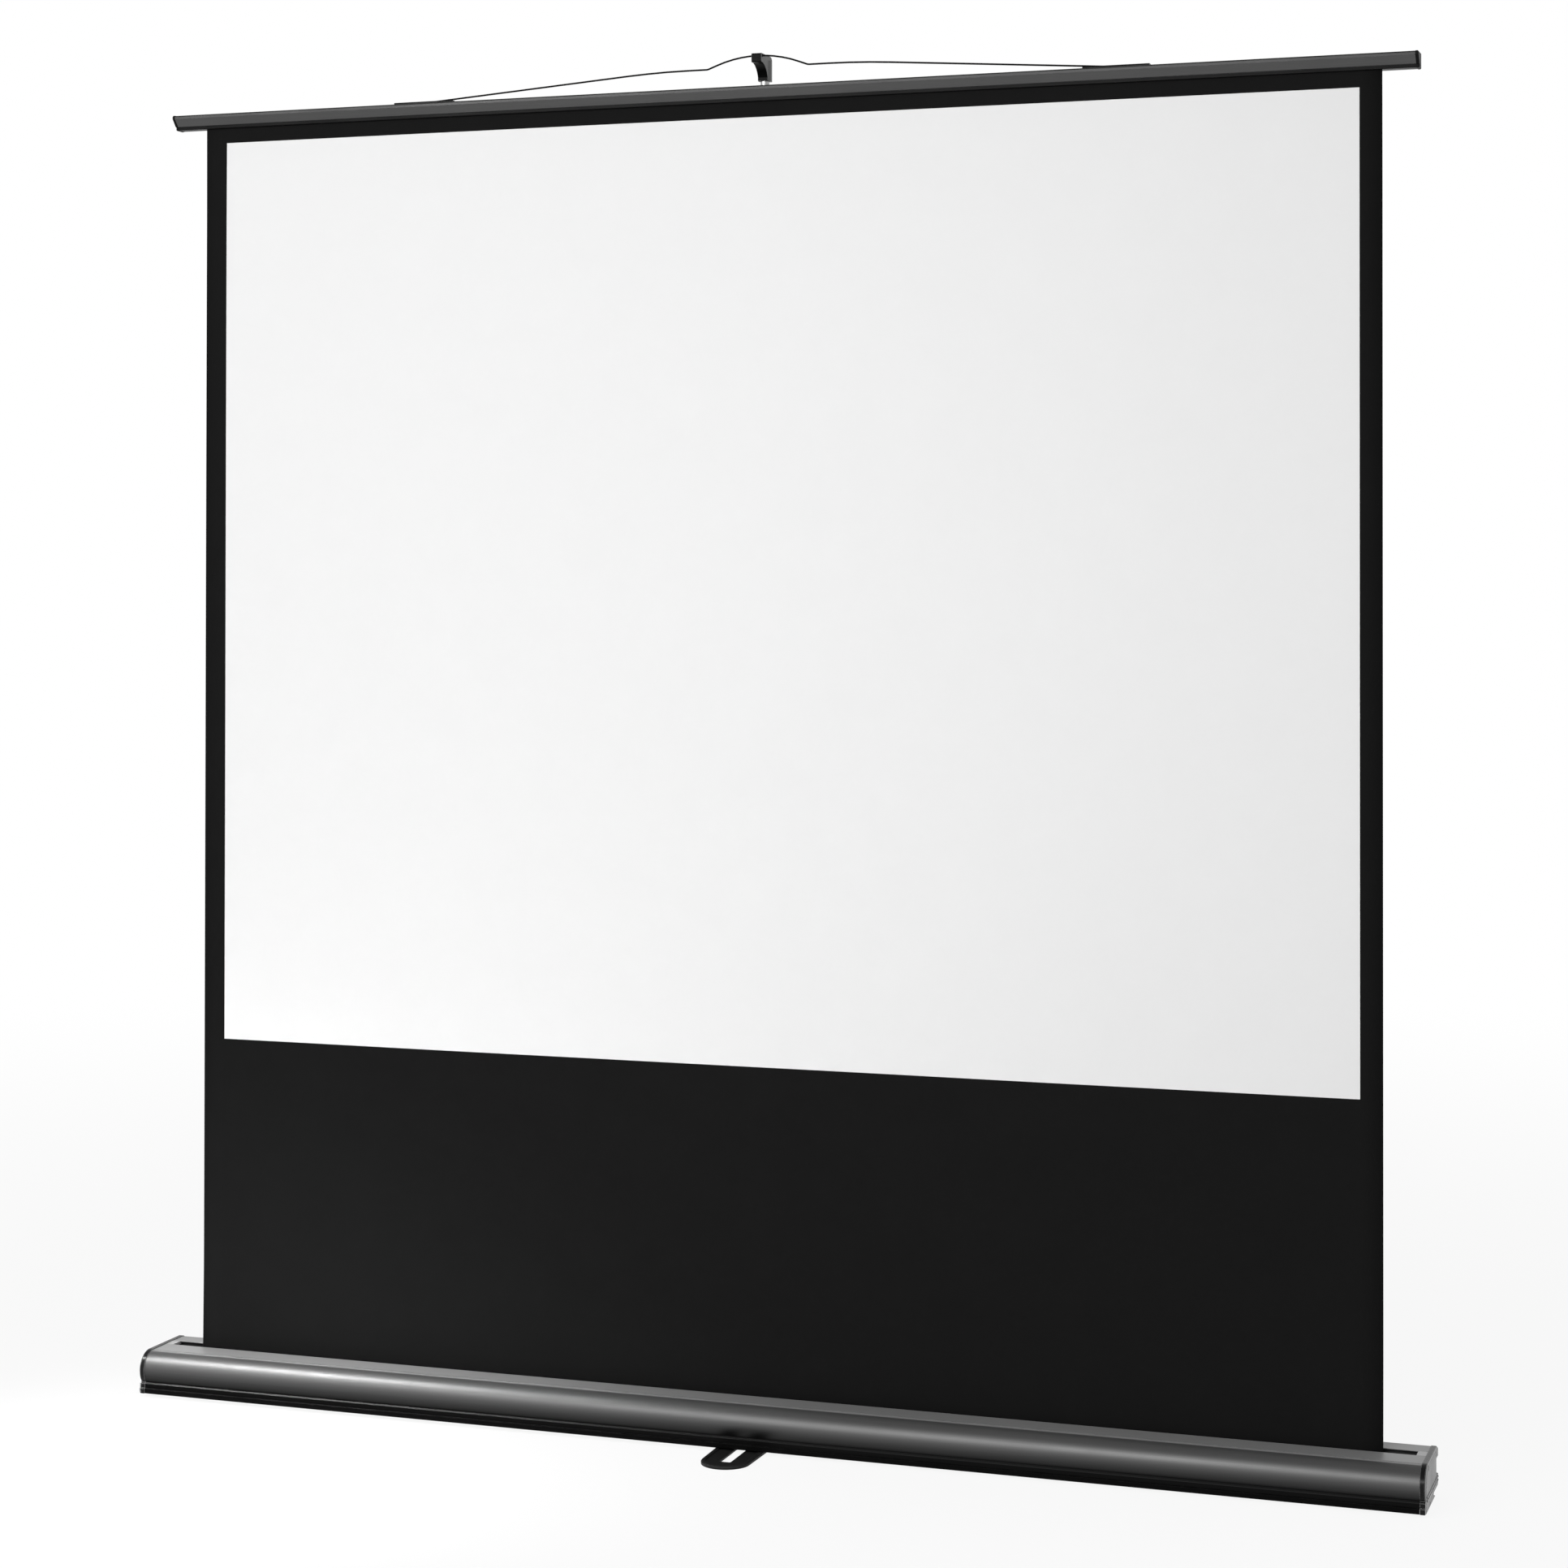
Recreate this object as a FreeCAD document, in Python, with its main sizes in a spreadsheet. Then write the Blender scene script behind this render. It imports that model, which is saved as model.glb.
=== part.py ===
import FreeCAD, Part
import math
import os
from types import SimpleNamespace

import Sketcher

# Portable projection screen: a spring roller in a floor case, a cloth drawn up out of the case's
# slot by its top rail, and a telescopic pole behind the cloth whose hook holds the rail's wire bow.
# The origin is on the floor at the pivot of the swivel foot: X runs along the case, Y to the rear.
# Lengths are in millimetres, heights are above the floor, and a value that ends in _ahead or
# _behind is measured from the plane of the cloth, to the front or to the rear.
DIMENSIONS = {
    # Cloth and the plane that it hangs in
    "cloth_plane": 22,
    "cloth_width": 1660,
    "cloth_thickness": 0.3,
    # Clearances
    "running_clearance": 0.05,
    "sliding_clearance": 0.1,
    "seat_clearance": 0.2,
    "soft_clearance": 0.3,
    # Case extrusion
    "case_side_room": 54,
    "case_top": 61,
    "case_floor": 12,
    "case_wall": 2,
    "case_ahead": 70,
    "case_behind": 44,
    "nose_radius": 25,
    "nose_low": 20,
    "flange_ahead": 66.5,
    "flange_top": 18,
    "back_radius": 6,
    "slot_width": 20,
    "web_behind": 17,
    "groove_ahead": 47.5,
    "groove_width": 1.2,
    "groove_depth": 0.8,
    "port_radius": 3.6,
    "port_bore_radius": 1.75,
    "port_height": 56,
    "front_port_ahead": 46,
    "rear_port_behind": 22.5,
    # End caps
    "cap_thickness": 8,
    "cap_proud": 0.8,
    "cap_bevel": 2,
    "cap_toe_proud": 0.3,
    "cap_heel_behind": 12,
    "cap_heel_height": 3,
    "cap_foot_ahead": 42,
    "cap_foot_behind": 8,
    "cap_foot_inset": 4,
    "cap_waist_behind": 1,
    "cap_waist_low": 9,
    "cap_waist_high": 11.5,
    "cap_rib_height": 1.6,
    "cap_rib_proud": 0.8,
    "upper_rib_height": 24,
    "lower_rib_height": 19.5,
    "cap_recess_depth": 3,
    "cap_recess_margin": 3,
    "cap_recess_bottom": 27,
    "cap_dimple_radius": 2.5,
    "cap_dimple_depth": 2,
    "cap_dimple_height": 9.5,
    "cap_dimple_ahead": 34,
    "spigot_length": 8,
    "spigot_bottom": 16,
    "spigot_top": 54,
    "spigot_ahead": 38,
    "spigot_behind": 15,
    "cap_screw_head_radius": 3,
    "cap_screw_head_height": 1.8,
    "cap_screw_sink": 2,
    "cap_screw_radius": 1.6,
    "cap_screw_length": 26,
    # Plugs at the ends of the slot
    "plug_length": 12,
    "plug_flange": 3,
    "plug_flange_height": 2,
    # Base rail under the case
    "base_inset": 0.5,
    "base_bottom": 4.5,
    "base_wall": 1.5,
    "base_ahead": 68.5,
    "base_behind": 16,
    "base_lip_bevel": 1,
    "boss_radius": 12,
    "base_screw_head_radius": 3.5,
    "base_screw_head_height": 2,
    "base_screw_radius": 1.9,
    "base_screw_length": 5,
    "base_screw_ahead": 42,
    "base_screw_end_gap": 125,
    # Swivel foot and its pivot
    "foot_thickness": 4,
    "foot_half_width": 34.5,
    "foot_tip_radius": 32.5,
    "foot_tip_centre": 94,
    "foot_edge_bevel": 1.2,
    "foot_rim": 5,
    "foot_dish_depth": 1.6,
    "foot_dish_start": 22,
    "foot_slot_width": 15,
    "foot_slot_start": 30,
    "foot_slot_end": 98,
    "foot_slot_corner": 2,
    "bolt_radius": 3,
    "bolt_head_radius": 6.5,
    "bolt_head_height": 2,
    "bolt_head_gap": 0.5,
    "nut_flats": 10,
    "nut_height": 2.4,
    # Roller
    "roller_height": 37,
    "tube_radius": 14,
    "tube_wall": 1.2,
    "tube_overhang": 8,
    "wraps_thickness": 0.9,
    "roller_plug_flange": 3,
    "roller_plug_length": 20,
    "shaft_radius": 4,
    "shaft_length": 450,
    "spring_inner_radius": 6.5,
    "spring_outer_radius": 9,
    "anchor_length": 14,
    "bracket_thickness": 2,
    "bracket_half_width": 22,
    "bracket_half_height": 16,
    "bracket_corner": 6,
    "hub_radius": 8,
    "hub_length": 12,
    "bracket_screw_spacing": 34,
    "bracket_screw_head_radius": 3,
    "bracket_screw_head_height": 2,
    "bracket_screw_radius": 1.7,
    "bracket_screw_length": 8,
    # Top rail
    "rail_bottom": 1785.5,
    "rail_height": 19.5,
    "rail_overhang": 43,
    "rail_brow_ahead": 16,
    "rail_brow_low": 14.5,
    "rail_step_ahead": 7,
    "rail_lip_ahead": 5,
    "rail_lip_top": 4.5,
    "rail_behind": 10,
    "rail_brow_radius": 2,
    "rail_lip_radius": 1,
    "rail_wall": 2,
    "rail_floor": 12.5,
    "channel_radius": 3.5,
    "channel_height": 7,
    "channel_mouth": 1.6,
    "rod_radius": 2.8,
    "rail_cap_thickness": 4,
    "rail_cap_proud": 0.4,
    "rail_cap_bevel": 1.2,
    "rail_cap_spigot": 10,
    # Wire bow on the rail and its clips
    "wire_radius": 1.2,
    "bow_end": 520,
    "bow_flat_length": 34,
    "bow_rise_end": 143,
    "handle_half_span": 71,
    "bow_seat_height": 2.2,
    "bow_side_height": 26.8,
    "handle_peak_height": 53,
    "bow_start_bend": 300,
    "bow_side_bend": 1200,
    "kink_bend": 12,
    "handle_bend": 165,
    "clip_grip": 74,
    "clip_length": 88,
    "clip_width": 10,
    "clip_height": 3.7,
    "clip_corner": 1.2,
    "clip_screw_gap": 9,
    "clip_screw_head_radius": 2.6,
    "clip_screw_head_height": 1.6,
    "clip_screw_radius": 1.3,
    "clip_screw_length": 6,
    # Telescopic pole
    "lower_tube_radius": 9,
    "mid_tube_radius": 7.5,
    "top_tube_radius": 6,
    "pole_wall": 1,
    "lower_tube_bottom": 20,
    "lower_tube_overlap": 78,
    "bush_length": 25,
    "pole_plug_flange": 3,
    "pole_plug_length": 18,
    "collar_length": 34,
    "collar_overlap": 26,
    "collar_wall": 3.4,
    "collar_lip": 2.5,
    "collar_bevel": 1.5,
    "collar_flute_radius": 1.5,
    "collar_flute_length": 20,
    "collet_split": 1.6,
    # Socket of the pole in the case's rear bay
    "socket_half_width": 18,
    "socket_floor": 17,
    "socket_flange": 4,
    "socket_flange_height": 3,
    "socket_screw_place": 13.5,
    "socket_screw_height": 28,
    "socket_screw_head_radius": 3,
    "socket_screw_head_height": 1.8,
    "socket_screw_radius": 1.6,
    "socket_screw_length": 12,
    "knob_height": 42,
    "knob_stem_radius": 3,
    "knob_gap": 1,
    "knob_radius": 11,
    "knob_length": 13,
    "knob_hub_radius": 6,
    "knob_hub_length": 4,
    "knob_flute_radius": 2.5,
    # Hook head on the pole
    "head_gap": 12,
    "head_height": 33,
    "head_arm_width": 14,
    "head_boss_width": 18,
    "head_behind_axis": 9,
    "head_back_radius": 6,
    "head_bore_depth": 20,
    "nose_half_depth": 5,
    "nose_depth": 12,
    "nose_corner": 2,
    "scoop_radius": 26,
    "scoop_low": 4,
    "scoop_inset": 3.5,
    "wire_slot_width": 3,
    "hook_screw_height": 14,
    "hook_screw_head_radius": 2.8,
    "hook_screw_head_height": 1.6,
    "hook_screw_radius": 1.4,
    "hook_screw_length": 8,
}

COLLAR_FLUTES = 8
KNOB_FLUTES = 6
# Each tube's share of the drawn-out pole, and the base screws' places as shares of the outer ones'
LOWER_TUBE_SHARE = 0.361
MID_TUBE_SHARE = 0.363
TOP_TUBE_SHARE = 0.37
BASE_SCREW_SHARES = (0.4, 1)

doc = FreeCAD.newDocument("projection_screen")
nodes = []
cuts = []


class Size:
    """A length that carries its value and the sheet expression that drives it."""

    def __init__(self, value, text):
        self.value = value
        self.text = text

    def combine(self, other, sign, value):
        return Size(value, f"({self.text} {sign} {as_size(other).text})")

    def __add__(self, other):
        return self.combine(other, "+", self.value + as_size(other).value)

    def __sub__(self, other):
        return self.combine(other, "-", self.value - as_size(other).value)

    def __mul__(self, other):
        return self.combine(other, "*", self.value * as_size(other).value)

    def __truediv__(self, other):
        return self.combine(other, "/", self.value / as_size(other).value)

    def __neg__(self):
        return Size(-self.value, f"(-1 * {self.text})")


def as_size(value):
    return value if isinstance(value, Size) else Size(float(value), repr(float(value)))


def root(size):
    return Size(math.sqrt(size.value), f"sqrt({size.text})")


def write_sheet():
    """Put the driving dimensions in the sheet and give each one back as a Size."""
    sheet = doc.addObject("Spreadsheet::Sheet", "sizes")
    for row, (alias, value) in enumerate(DIMENSIONS.items(), start=1):
        sheet.set(f"A{row}", alias)
        sheet.set(f"B{row}", str(value))
        sheet.setAlias(f"B{row}", alias)
    doc.recompute()
    sizes = {alias: Size(float(value), f"sizes.{alias}") for alias, value in DIMENSIONS.items()}
    return SimpleNamespace(**sizes)


def bind(item, path, size):
    item.setExpression(path, as_size(size).text)


def place(item, x=0, y=0, z=0):
    for axis, value in zip("xyz", (x, y, z)):
        bind(item, f"Placement.Base.{axis}", value)


def new_body(name):
    body = doc.addObject("PartDesign::Body", name)
    body.Label = name
    nodes.append(body)
    return body


def new_sketch(body, role, lift=0):
    """A sketch on one of the body's origin planes, lifted along the plane's normal."""
    plane = next(item for item in body.Origin.OriginFeatures if item.Role == role)
    sketch = body.newObject("Sketcher::SketchObject", f"{body.Name}_sketch")
    sketch.AttachmentSupport = [(plane, "")]
    sketch.MapMode = "FlatFace"
    bind(sketch, "AttachmentOffset.Base.z", lift)
    return sketch


def fix_point(sketch, edge, end, corner):
    for kind, size in zip(("DistanceX", "DistanceY"), corner):
        size = as_size(size)
        index = sketch.addConstraint(Sketcher.Constraint(kind, -1, 1, edge, end, size.value))
        sketch.setExpression(f"Constraints[{index}]", size.text)


def fix_radius(sketch, edge, radius):
    index = sketch.addConstraint(Sketcher.Constraint("Radius", edge, radius.value))
    sketch.setExpression(f"Constraints[{index}]", radius.text)


def flat(corner):
    return FreeCAD.Vector(as_size(corner[0]).value, as_size(corner[1]).value, 0)


def arc_through(start, end, radius, left):
    """The short arc from start to end, turning left or right, and whether it is drawn from its start."""
    chord = end - start
    across = FreeCAD.Vector(-chord.y, chord.x, 0).normalize()
    rise = math.sqrt(max(radius ** 2 - (chord.Length / 2) ** 2, 0))
    centre = (start + end) * 0.5 + across * (rise if left else -rise)
    first, last = (start, end) if left else (end, start)
    angles = [math.atan2(point.y - centre.y, point.x - centre.x) for point in (first, last)]
    if angles[1] <= angles[0]:
        angles[1] += 2 * math.pi
    circle = Part.Circle(centre, FreeCAD.Vector(0, 0, 1), radius)
    return Part.ArcOfCircle(circle, *angles)


def draw(sketch, corners):
    """A closed outline. A corner (u, v, radius, "left" or "right") starts an arc to the next corner."""
    edges = []
    for corner, following in zip(corners, corners[1:] + corners[:1]):
        start, end = flat(corner), flat(following)
        if len(corner) == 2:
            edge = sketch.addGeometry(Part.LineSegment(start, end), False)
            edges.append((edge, 1, 2))
        else:
            left = corner[3] == "left"
            edge = sketch.addGeometry(arc_through(start, end, as_size(corner[2]).value, left), False)
            edges.append((edge, 1, 2) if left else (edge, 2, 1))
    for (edge, _, last), (after, start, _) in zip(edges, edges[1:] + edges[:1]):
        sketch.addConstraint(Sketcher.Constraint("Coincident", edge, last, after, start))
    for (edge, first, _), corner in zip(edges, corners):
        fix_point(sketch, edge, first, corner[:2])
        if len(corner) == 4:
            fix_radius(sketch, edge, as_size(corner[2]))
    return sketch


def draw_circle(sketch, u, v, radius):
    circle = Part.Circle(flat((u, v)), FreeCAD.Vector(0, 0, 1), as_size(radius).value)
    edge = sketch.addGeometry(circle, False)
    fix_point(sketch, edge, 3, (u, v))
    fix_radius(sketch, edge, as_size(radius))
    return sketch


def draw_box(sketch, left, right, low, high):
    return draw(sketch, [(left, low), (right, low), (right, high), (left, high)])


def draw_path(sketch, corners, bends):
    """An open path of straight runs through the corners, joined by tangent arcs."""
    points = [flat(corner) for corner in corners]
    starts = [points[0]]
    arcs = []
    ends = []
    for before, corner, after, bend in zip(points, points[1:], points[2:], bends):
        arriving = (corner - before).normalize()
        leaving = (after - corner).normalize()
        turn = arriving.getAngle(leaving)
        reach = bend.value * math.tan(turn / 2)
        left = arriving.cross(leaving).z > 0
        ends.append(corner - arriving * reach)
        starts.append(corner + leaving * reach)
        arcs.append((arc_through(ends[-1], starts[-1], bend.value, left), left))
    ends.append(points[-1])
    runs = [sketch.addGeometry(Part.LineSegment(start, end), False) for start, end in zip(starts, ends)]
    for index, (arc, left) in enumerate(arcs):
        edge = sketch.addGeometry(arc, False)
        first, last = (1, 2) if left else (2, 1)
        sketch.addConstraint(Sketcher.Constraint("Tangent", runs[index], 2, edge, first))
        sketch.addConstraint(Sketcher.Constraint("Tangent", edge, last, runs[index + 1], 1))
        fix_radius(sketch, edge, bends[index])
        mark = sketch.addGeometry(Part.Point(points[index + 1]), True)
        fix_point(sketch, mark, 1, corners[index + 1])
        for run in runs[index:index + 2]:
            sketch.addConstraint(Sketcher.Constraint("PointOnObject", mark, 1, run))
    fix_point(sketch, runs[0], 1, corners[0])
    fix_point(sketch, runs[-1], 2, corners[-1])
    return sketch


def pad(body, sketch, length, reverse=False):
    feature = body.newObject("PartDesign::Pad", f"{body.Name}_pad")
    feature.Profile = sketch
    feature.Reversed = reverse
    bind(feature, "Length", length)
    return feature


def pocket(body, sketch, depth=None, reverse=False):
    """Cut against the sketch's normal, or along it when reversed, right through if no depth is given."""
    feature = body.newObject("PartDesign::Pocket", f"{body.Name}_pocket")
    feature.Profile = sketch
    feature.Reversed = reverse
    if depth is None:
        feature.Type = "ThroughAll"
    else:
        bind(feature, "Length", depth)
    cuts.append(feature)
    return feature


def revolve(body, sketch, axis):
    feature = body.newObject("PartDesign::Revolution", f"{body.Name}_revolution")
    feature.Profile = sketch
    feature.ReferenceAxis = (sketch, [axis])
    feature.Angle = 360
    return feature


def upright(name, corners):
    """A body turned about its own Z axis, from corners given as radius and height."""
    body = new_body(name)
    revolve(body, draw(new_sketch(body, "XZ_Plane"), corners), "V_Axis")
    return body


def lengthwise(name, corners):
    """A body turned about its own X axis, from corners given as length and radius."""
    body = new_body(name)
    revolve(body, draw(new_sketch(body, "XY_Plane"), corners), "H_Axis")
    return body


def dress_edges(body, kind, size, choose):
    """Fillet or chamfer the edges of the body's last feature that the chooser picks."""
    doc.recompute()
    base = body.Tip
    names = [f"Edge{index}" for index, edge in enumerate(base.Shape.Edges, start=1) if choose(edge)]
    feature = body.newObject(f"PartDesign::{kind}", f"{body.Name}_{kind.lower()}")
    feature.Base = (base, names)
    bind(feature, "Radius" if kind == "Fillet" else "Size", size)
    return feature


def turn_pattern(body, feature, sketch, axis, count):
    """Repeat a cut round an axis of its sketch."""
    pattern = body.newObject("PartDesign::PolarPattern", f"{body.Name}_pattern")
    pattern.Originals = [feature]
    pattern.Axis = (sketch, [axis])
    pattern.Angle = 360
    pattern.Occurrences = count
    body.Tip = pattern
    return pattern


TURNS = {
    "+x": FreeCAD.Rotation(FreeCAD.Vector(0, 1, 0), 90),
    "-x": FreeCAD.Rotation(FreeCAD.Vector(0, 1, 0), -90),
    "+y": FreeCAD.Rotation(FreeCAD.Vector(1, 0, 0), -90),
    "-y": FreeCAD.Rotation(FreeCAD.Vector(1, 0, 0), 90),
    "+z": FreeCAD.Rotation(),
    "-z": FreeCAD.Rotation(FreeCAD.Vector(1, 0, 0), 180),
}


def cylinder(name, radius, height, heading="+z"):
    item = doc.addObject("Part::Cylinder", name)
    item.Placement = FreeCAD.Placement(FreeCAD.Vector(), TURNS[heading])
    bind(item, "Radius", radius)
    bind(item, "Height", height)
    return item


def screws(name, head_radius, head_height, radius, length, spots):
    """One node of equal screws. A spot is where a head seats and the way that its shank points."""
    group = doc.addObject("Part::Compound", name)
    group.Label = name
    made = []
    for heading, x, y, z in spots:
        head = cylinder(f"{name}_head", head_radius, head_height)
        bind(head, "Placement.Base.z", -head_height)
        shank = cylinder(f"{name}_shank", radius, length)
        screw = doc.addObject("Part::Fuse", f"{name}_one")
        screw.Base = head
        screw.Tool = shank
        screw.Placement = FreeCAD.Placement(FreeCAD.Vector(), TURNS[heading])
        place(screw, x, y, z)
        made.append(screw)
    group.Links = made
    nodes.append(group)
    return group


s = write_sheet()
SIDES = (("left", -1), ("right", 1))

# Places that several pieces share
cloth_y = s.cloth_plane
cloth_half = s.cloth_width / 2
case_length = s.cloth_width + s.case_side_room * 2
case_half = case_length / 2
base_half = case_half - s.base_inset
case_front_y = cloth_y - s.case_ahead
case_back_y = cloth_y + s.case_behind
nose_y = case_front_y + s.nose_radius
nose_z = s.case_top - s.nose_radius
web_y = cloth_y + s.web_behind
bay_front_y = web_y + s.case_wall
bay_back_y = case_back_y - s.case_wall
pole_y = (bay_front_y + bay_back_y) / 2
slot_front_y = cloth_y - s.slot_width / 2
slot_back_y = cloth_y + s.slot_width / 2
chamber_floor_z = s.case_floor + s.case_wall
chamber_top_z = s.case_top - s.case_wall
front_port_y = cloth_y - s.front_port_ahead
rear_port_y = cloth_y + s.rear_port_behind
wraps_radius = s.tube_radius + s.wraps_thickness
roller_y = cloth_y - s.cloth_thickness / 2 - s.soft_clearance - wraps_radius
rail_top_z = s.rail_bottom + s.rail_height
rail_length = s.cloth_width + s.rail_overhang * 2
rail_half = rail_length / 2
wire_seat_z = rail_top_z + s.bow_seat_height
clip_start = s.bow_end - s.clip_grip
clip_screw_place = s.bow_end + s.clip_screw_gap
head_bottom = rail_top_z + s.head_gap
top_tube_top = head_bottom + s.head_bore_depth
pole_reach = top_tube_top - s.lower_tube_bottom
lower_tube_top = s.lower_tube_bottom + pole_reach * LOWER_TUBE_SHARE
mid_tube_bottom = lower_tube_top - s.lower_tube_overlap
mid_tube_top = mid_tube_bottom + pole_reach * MID_TUBE_SHARE
top_tube_bottom = top_tube_top - pole_reach * TOP_TUBE_SHARE


def nose_edge_y(radius):
    """Where a nose of this radius ends, at the height of the flange's crease."""
    return nose_y - root(radius * radius - (nose_z - s.nose_low) * (nose_z - s.nose_low))


def make_case_shell():
    body = new_body("case_shell")
    inner_nose = s.nose_radius - s.case_wall
    section = new_sketch(body, "YZ_Plane")
    draw(section, [
        (slot_front_y, s.case_top),
        (nose_y, s.case_top, s.nose_radius, "left"),
        (nose_edge_y(s.nose_radius), s.nose_low),
        (cloth_y - s.flange_ahead, s.flange_top),
        (cloth_y - s.flange_ahead, s.case_floor),
        (case_back_y, s.case_floor),
        (case_back_y, s.case_top - s.back_radius, s.back_radius, "left"),
        (case_back_y - s.back_radius, s.case_top),
        (slot_back_y, s.case_top),
        (slot_back_y, chamber_top_z),
        (web_y, chamber_top_z),
        (web_y, chamber_floor_z),
        (nose_edge_y(inner_nose), chamber_floor_z),
        (nose_edge_y(inner_nose), s.nose_low, inner_nose, "right"),
        (nose_y, chamber_top_z),
        (slot_front_y, chamber_top_z),
    ])
    draw(section, [
        (bay_front_y, chamber_floor_z),
        (bay_back_y, chamber_floor_z),
        (bay_back_y, s.case_top - s.back_radius, s.back_radius - s.case_wall, "left"),
        (case_back_y - s.back_radius, chamber_top_z),
        (bay_front_y, chamber_top_z),
    ])
    pad(body, section, case_length)

    ports = new_sketch(body, "YZ_Plane")
    bores = new_sketch(body, "YZ_Plane")
    for port_y in (front_port_y, rear_port_y):
        draw_circle(ports, port_y, s.port_height, s.port_radius)
        draw_circle(bores, port_y, s.port_height, s.port_bore_radius)
    pad(body, ports, case_length)
    pocket(body, bores, reverse=True)

    groove = new_sketch(body, "YZ_Plane")
    groove_y = cloth_y - s.groove_ahead
    draw_box(groove, groove_y, groove_y + s.groove_width,
             s.case_top - s.groove_depth, s.case_top + s.groove_depth)
    pocket(body, groove, reverse=True)

    notch_half = s.socket_half_width + s.seat_clearance
    notch = new_sketch(body, "XY_Plane", s.case_top)
    draw_box(notch, case_half - notch_half, case_half + notch_half, bay_front_y, bay_back_y)
    pocket(body, notch, s.case_top - s.port_height + s.port_radius)

    floor_holes = new_sketch(body, "XY_Plane", chamber_floor_z)
    draw_circle(floor_holes, case_half, 0, s.bolt_radius + s.seat_clearance)
    for x in base_screw_places():
        draw_circle(floor_holes, case_half + x, cloth_y - s.base_screw_ahead,
                    s.base_screw_radius + s.seat_clearance)
    pocket(body, floor_holes, s.case_wall)

    back_holes = new_sketch(body, "XZ_Plane", -case_back_y)
    draw_circle(back_holes, case_half, s.knob_height, s.knob_stem_radius + s.seat_clearance)
    for side in (-1, 1):
        draw_circle(back_holes, case_half + s.socket_screw_place * side, s.socket_screw_height,
                    s.socket_screw_radius + s.seat_clearance)
    pocket(body, back_holes, s.case_wall, reverse=True)
    place(body, -case_half)


def base_screw_places():
    outer = base_half - s.base_screw_end_gap
    return [outer * share * side for share in BASE_SCREW_SHARES for side in (-1, 1)]


def make_base_rail():
    body = new_body("base_rail")
    front = cloth_y - s.base_ahead
    back = cloth_y + s.base_behind
    underside = s.case_floor - s.base_wall
    section = new_sketch(body, "YZ_Plane")
    draw(section, [
        (front, s.base_bottom + s.base_lip_bevel),
        (front + s.base_lip_bevel, s.base_bottom),
        (front + s.base_wall + s.base_lip_bevel, s.base_bottom),
        (front + s.base_wall + s.base_lip_bevel, underside),
        (back - s.base_wall, underside),
        (back - s.base_wall, s.base_bottom),
        (back, s.base_bottom),
        (back, s.case_floor),
        (front + s.base_lip_bevel, s.case_floor),
        (front, s.case_floor - s.base_lip_bevel),
    ])
    pad(body, section, base_half * 2)
    boss = new_sketch(body, "XY_Plane", s.base_bottom)
    draw_circle(boss, base_half, 0, s.boss_radius)
    pad(body, boss, s.case_floor - s.base_bottom)
    holes = new_sketch(body, "XY_Plane", s.case_floor)
    draw_circle(holes, base_half, 0, s.bolt_radius + s.seat_clearance)
    for x in base_screw_places():
        draw_circle(holes, base_half + x, cloth_y - s.base_screw_ahead,
                    s.base_screw_radius + s.seat_clearance)
    pocket(body, holes)
    place(body, -base_half)
    spots = [("+z", x, cloth_y - s.base_screw_ahead, underside) for x in base_screw_places()]
    screws("base_rail_screws", s.base_screw_head_radius, s.base_screw_head_height, s.base_screw_radius,
           s.base_screw_length, spots)


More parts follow.
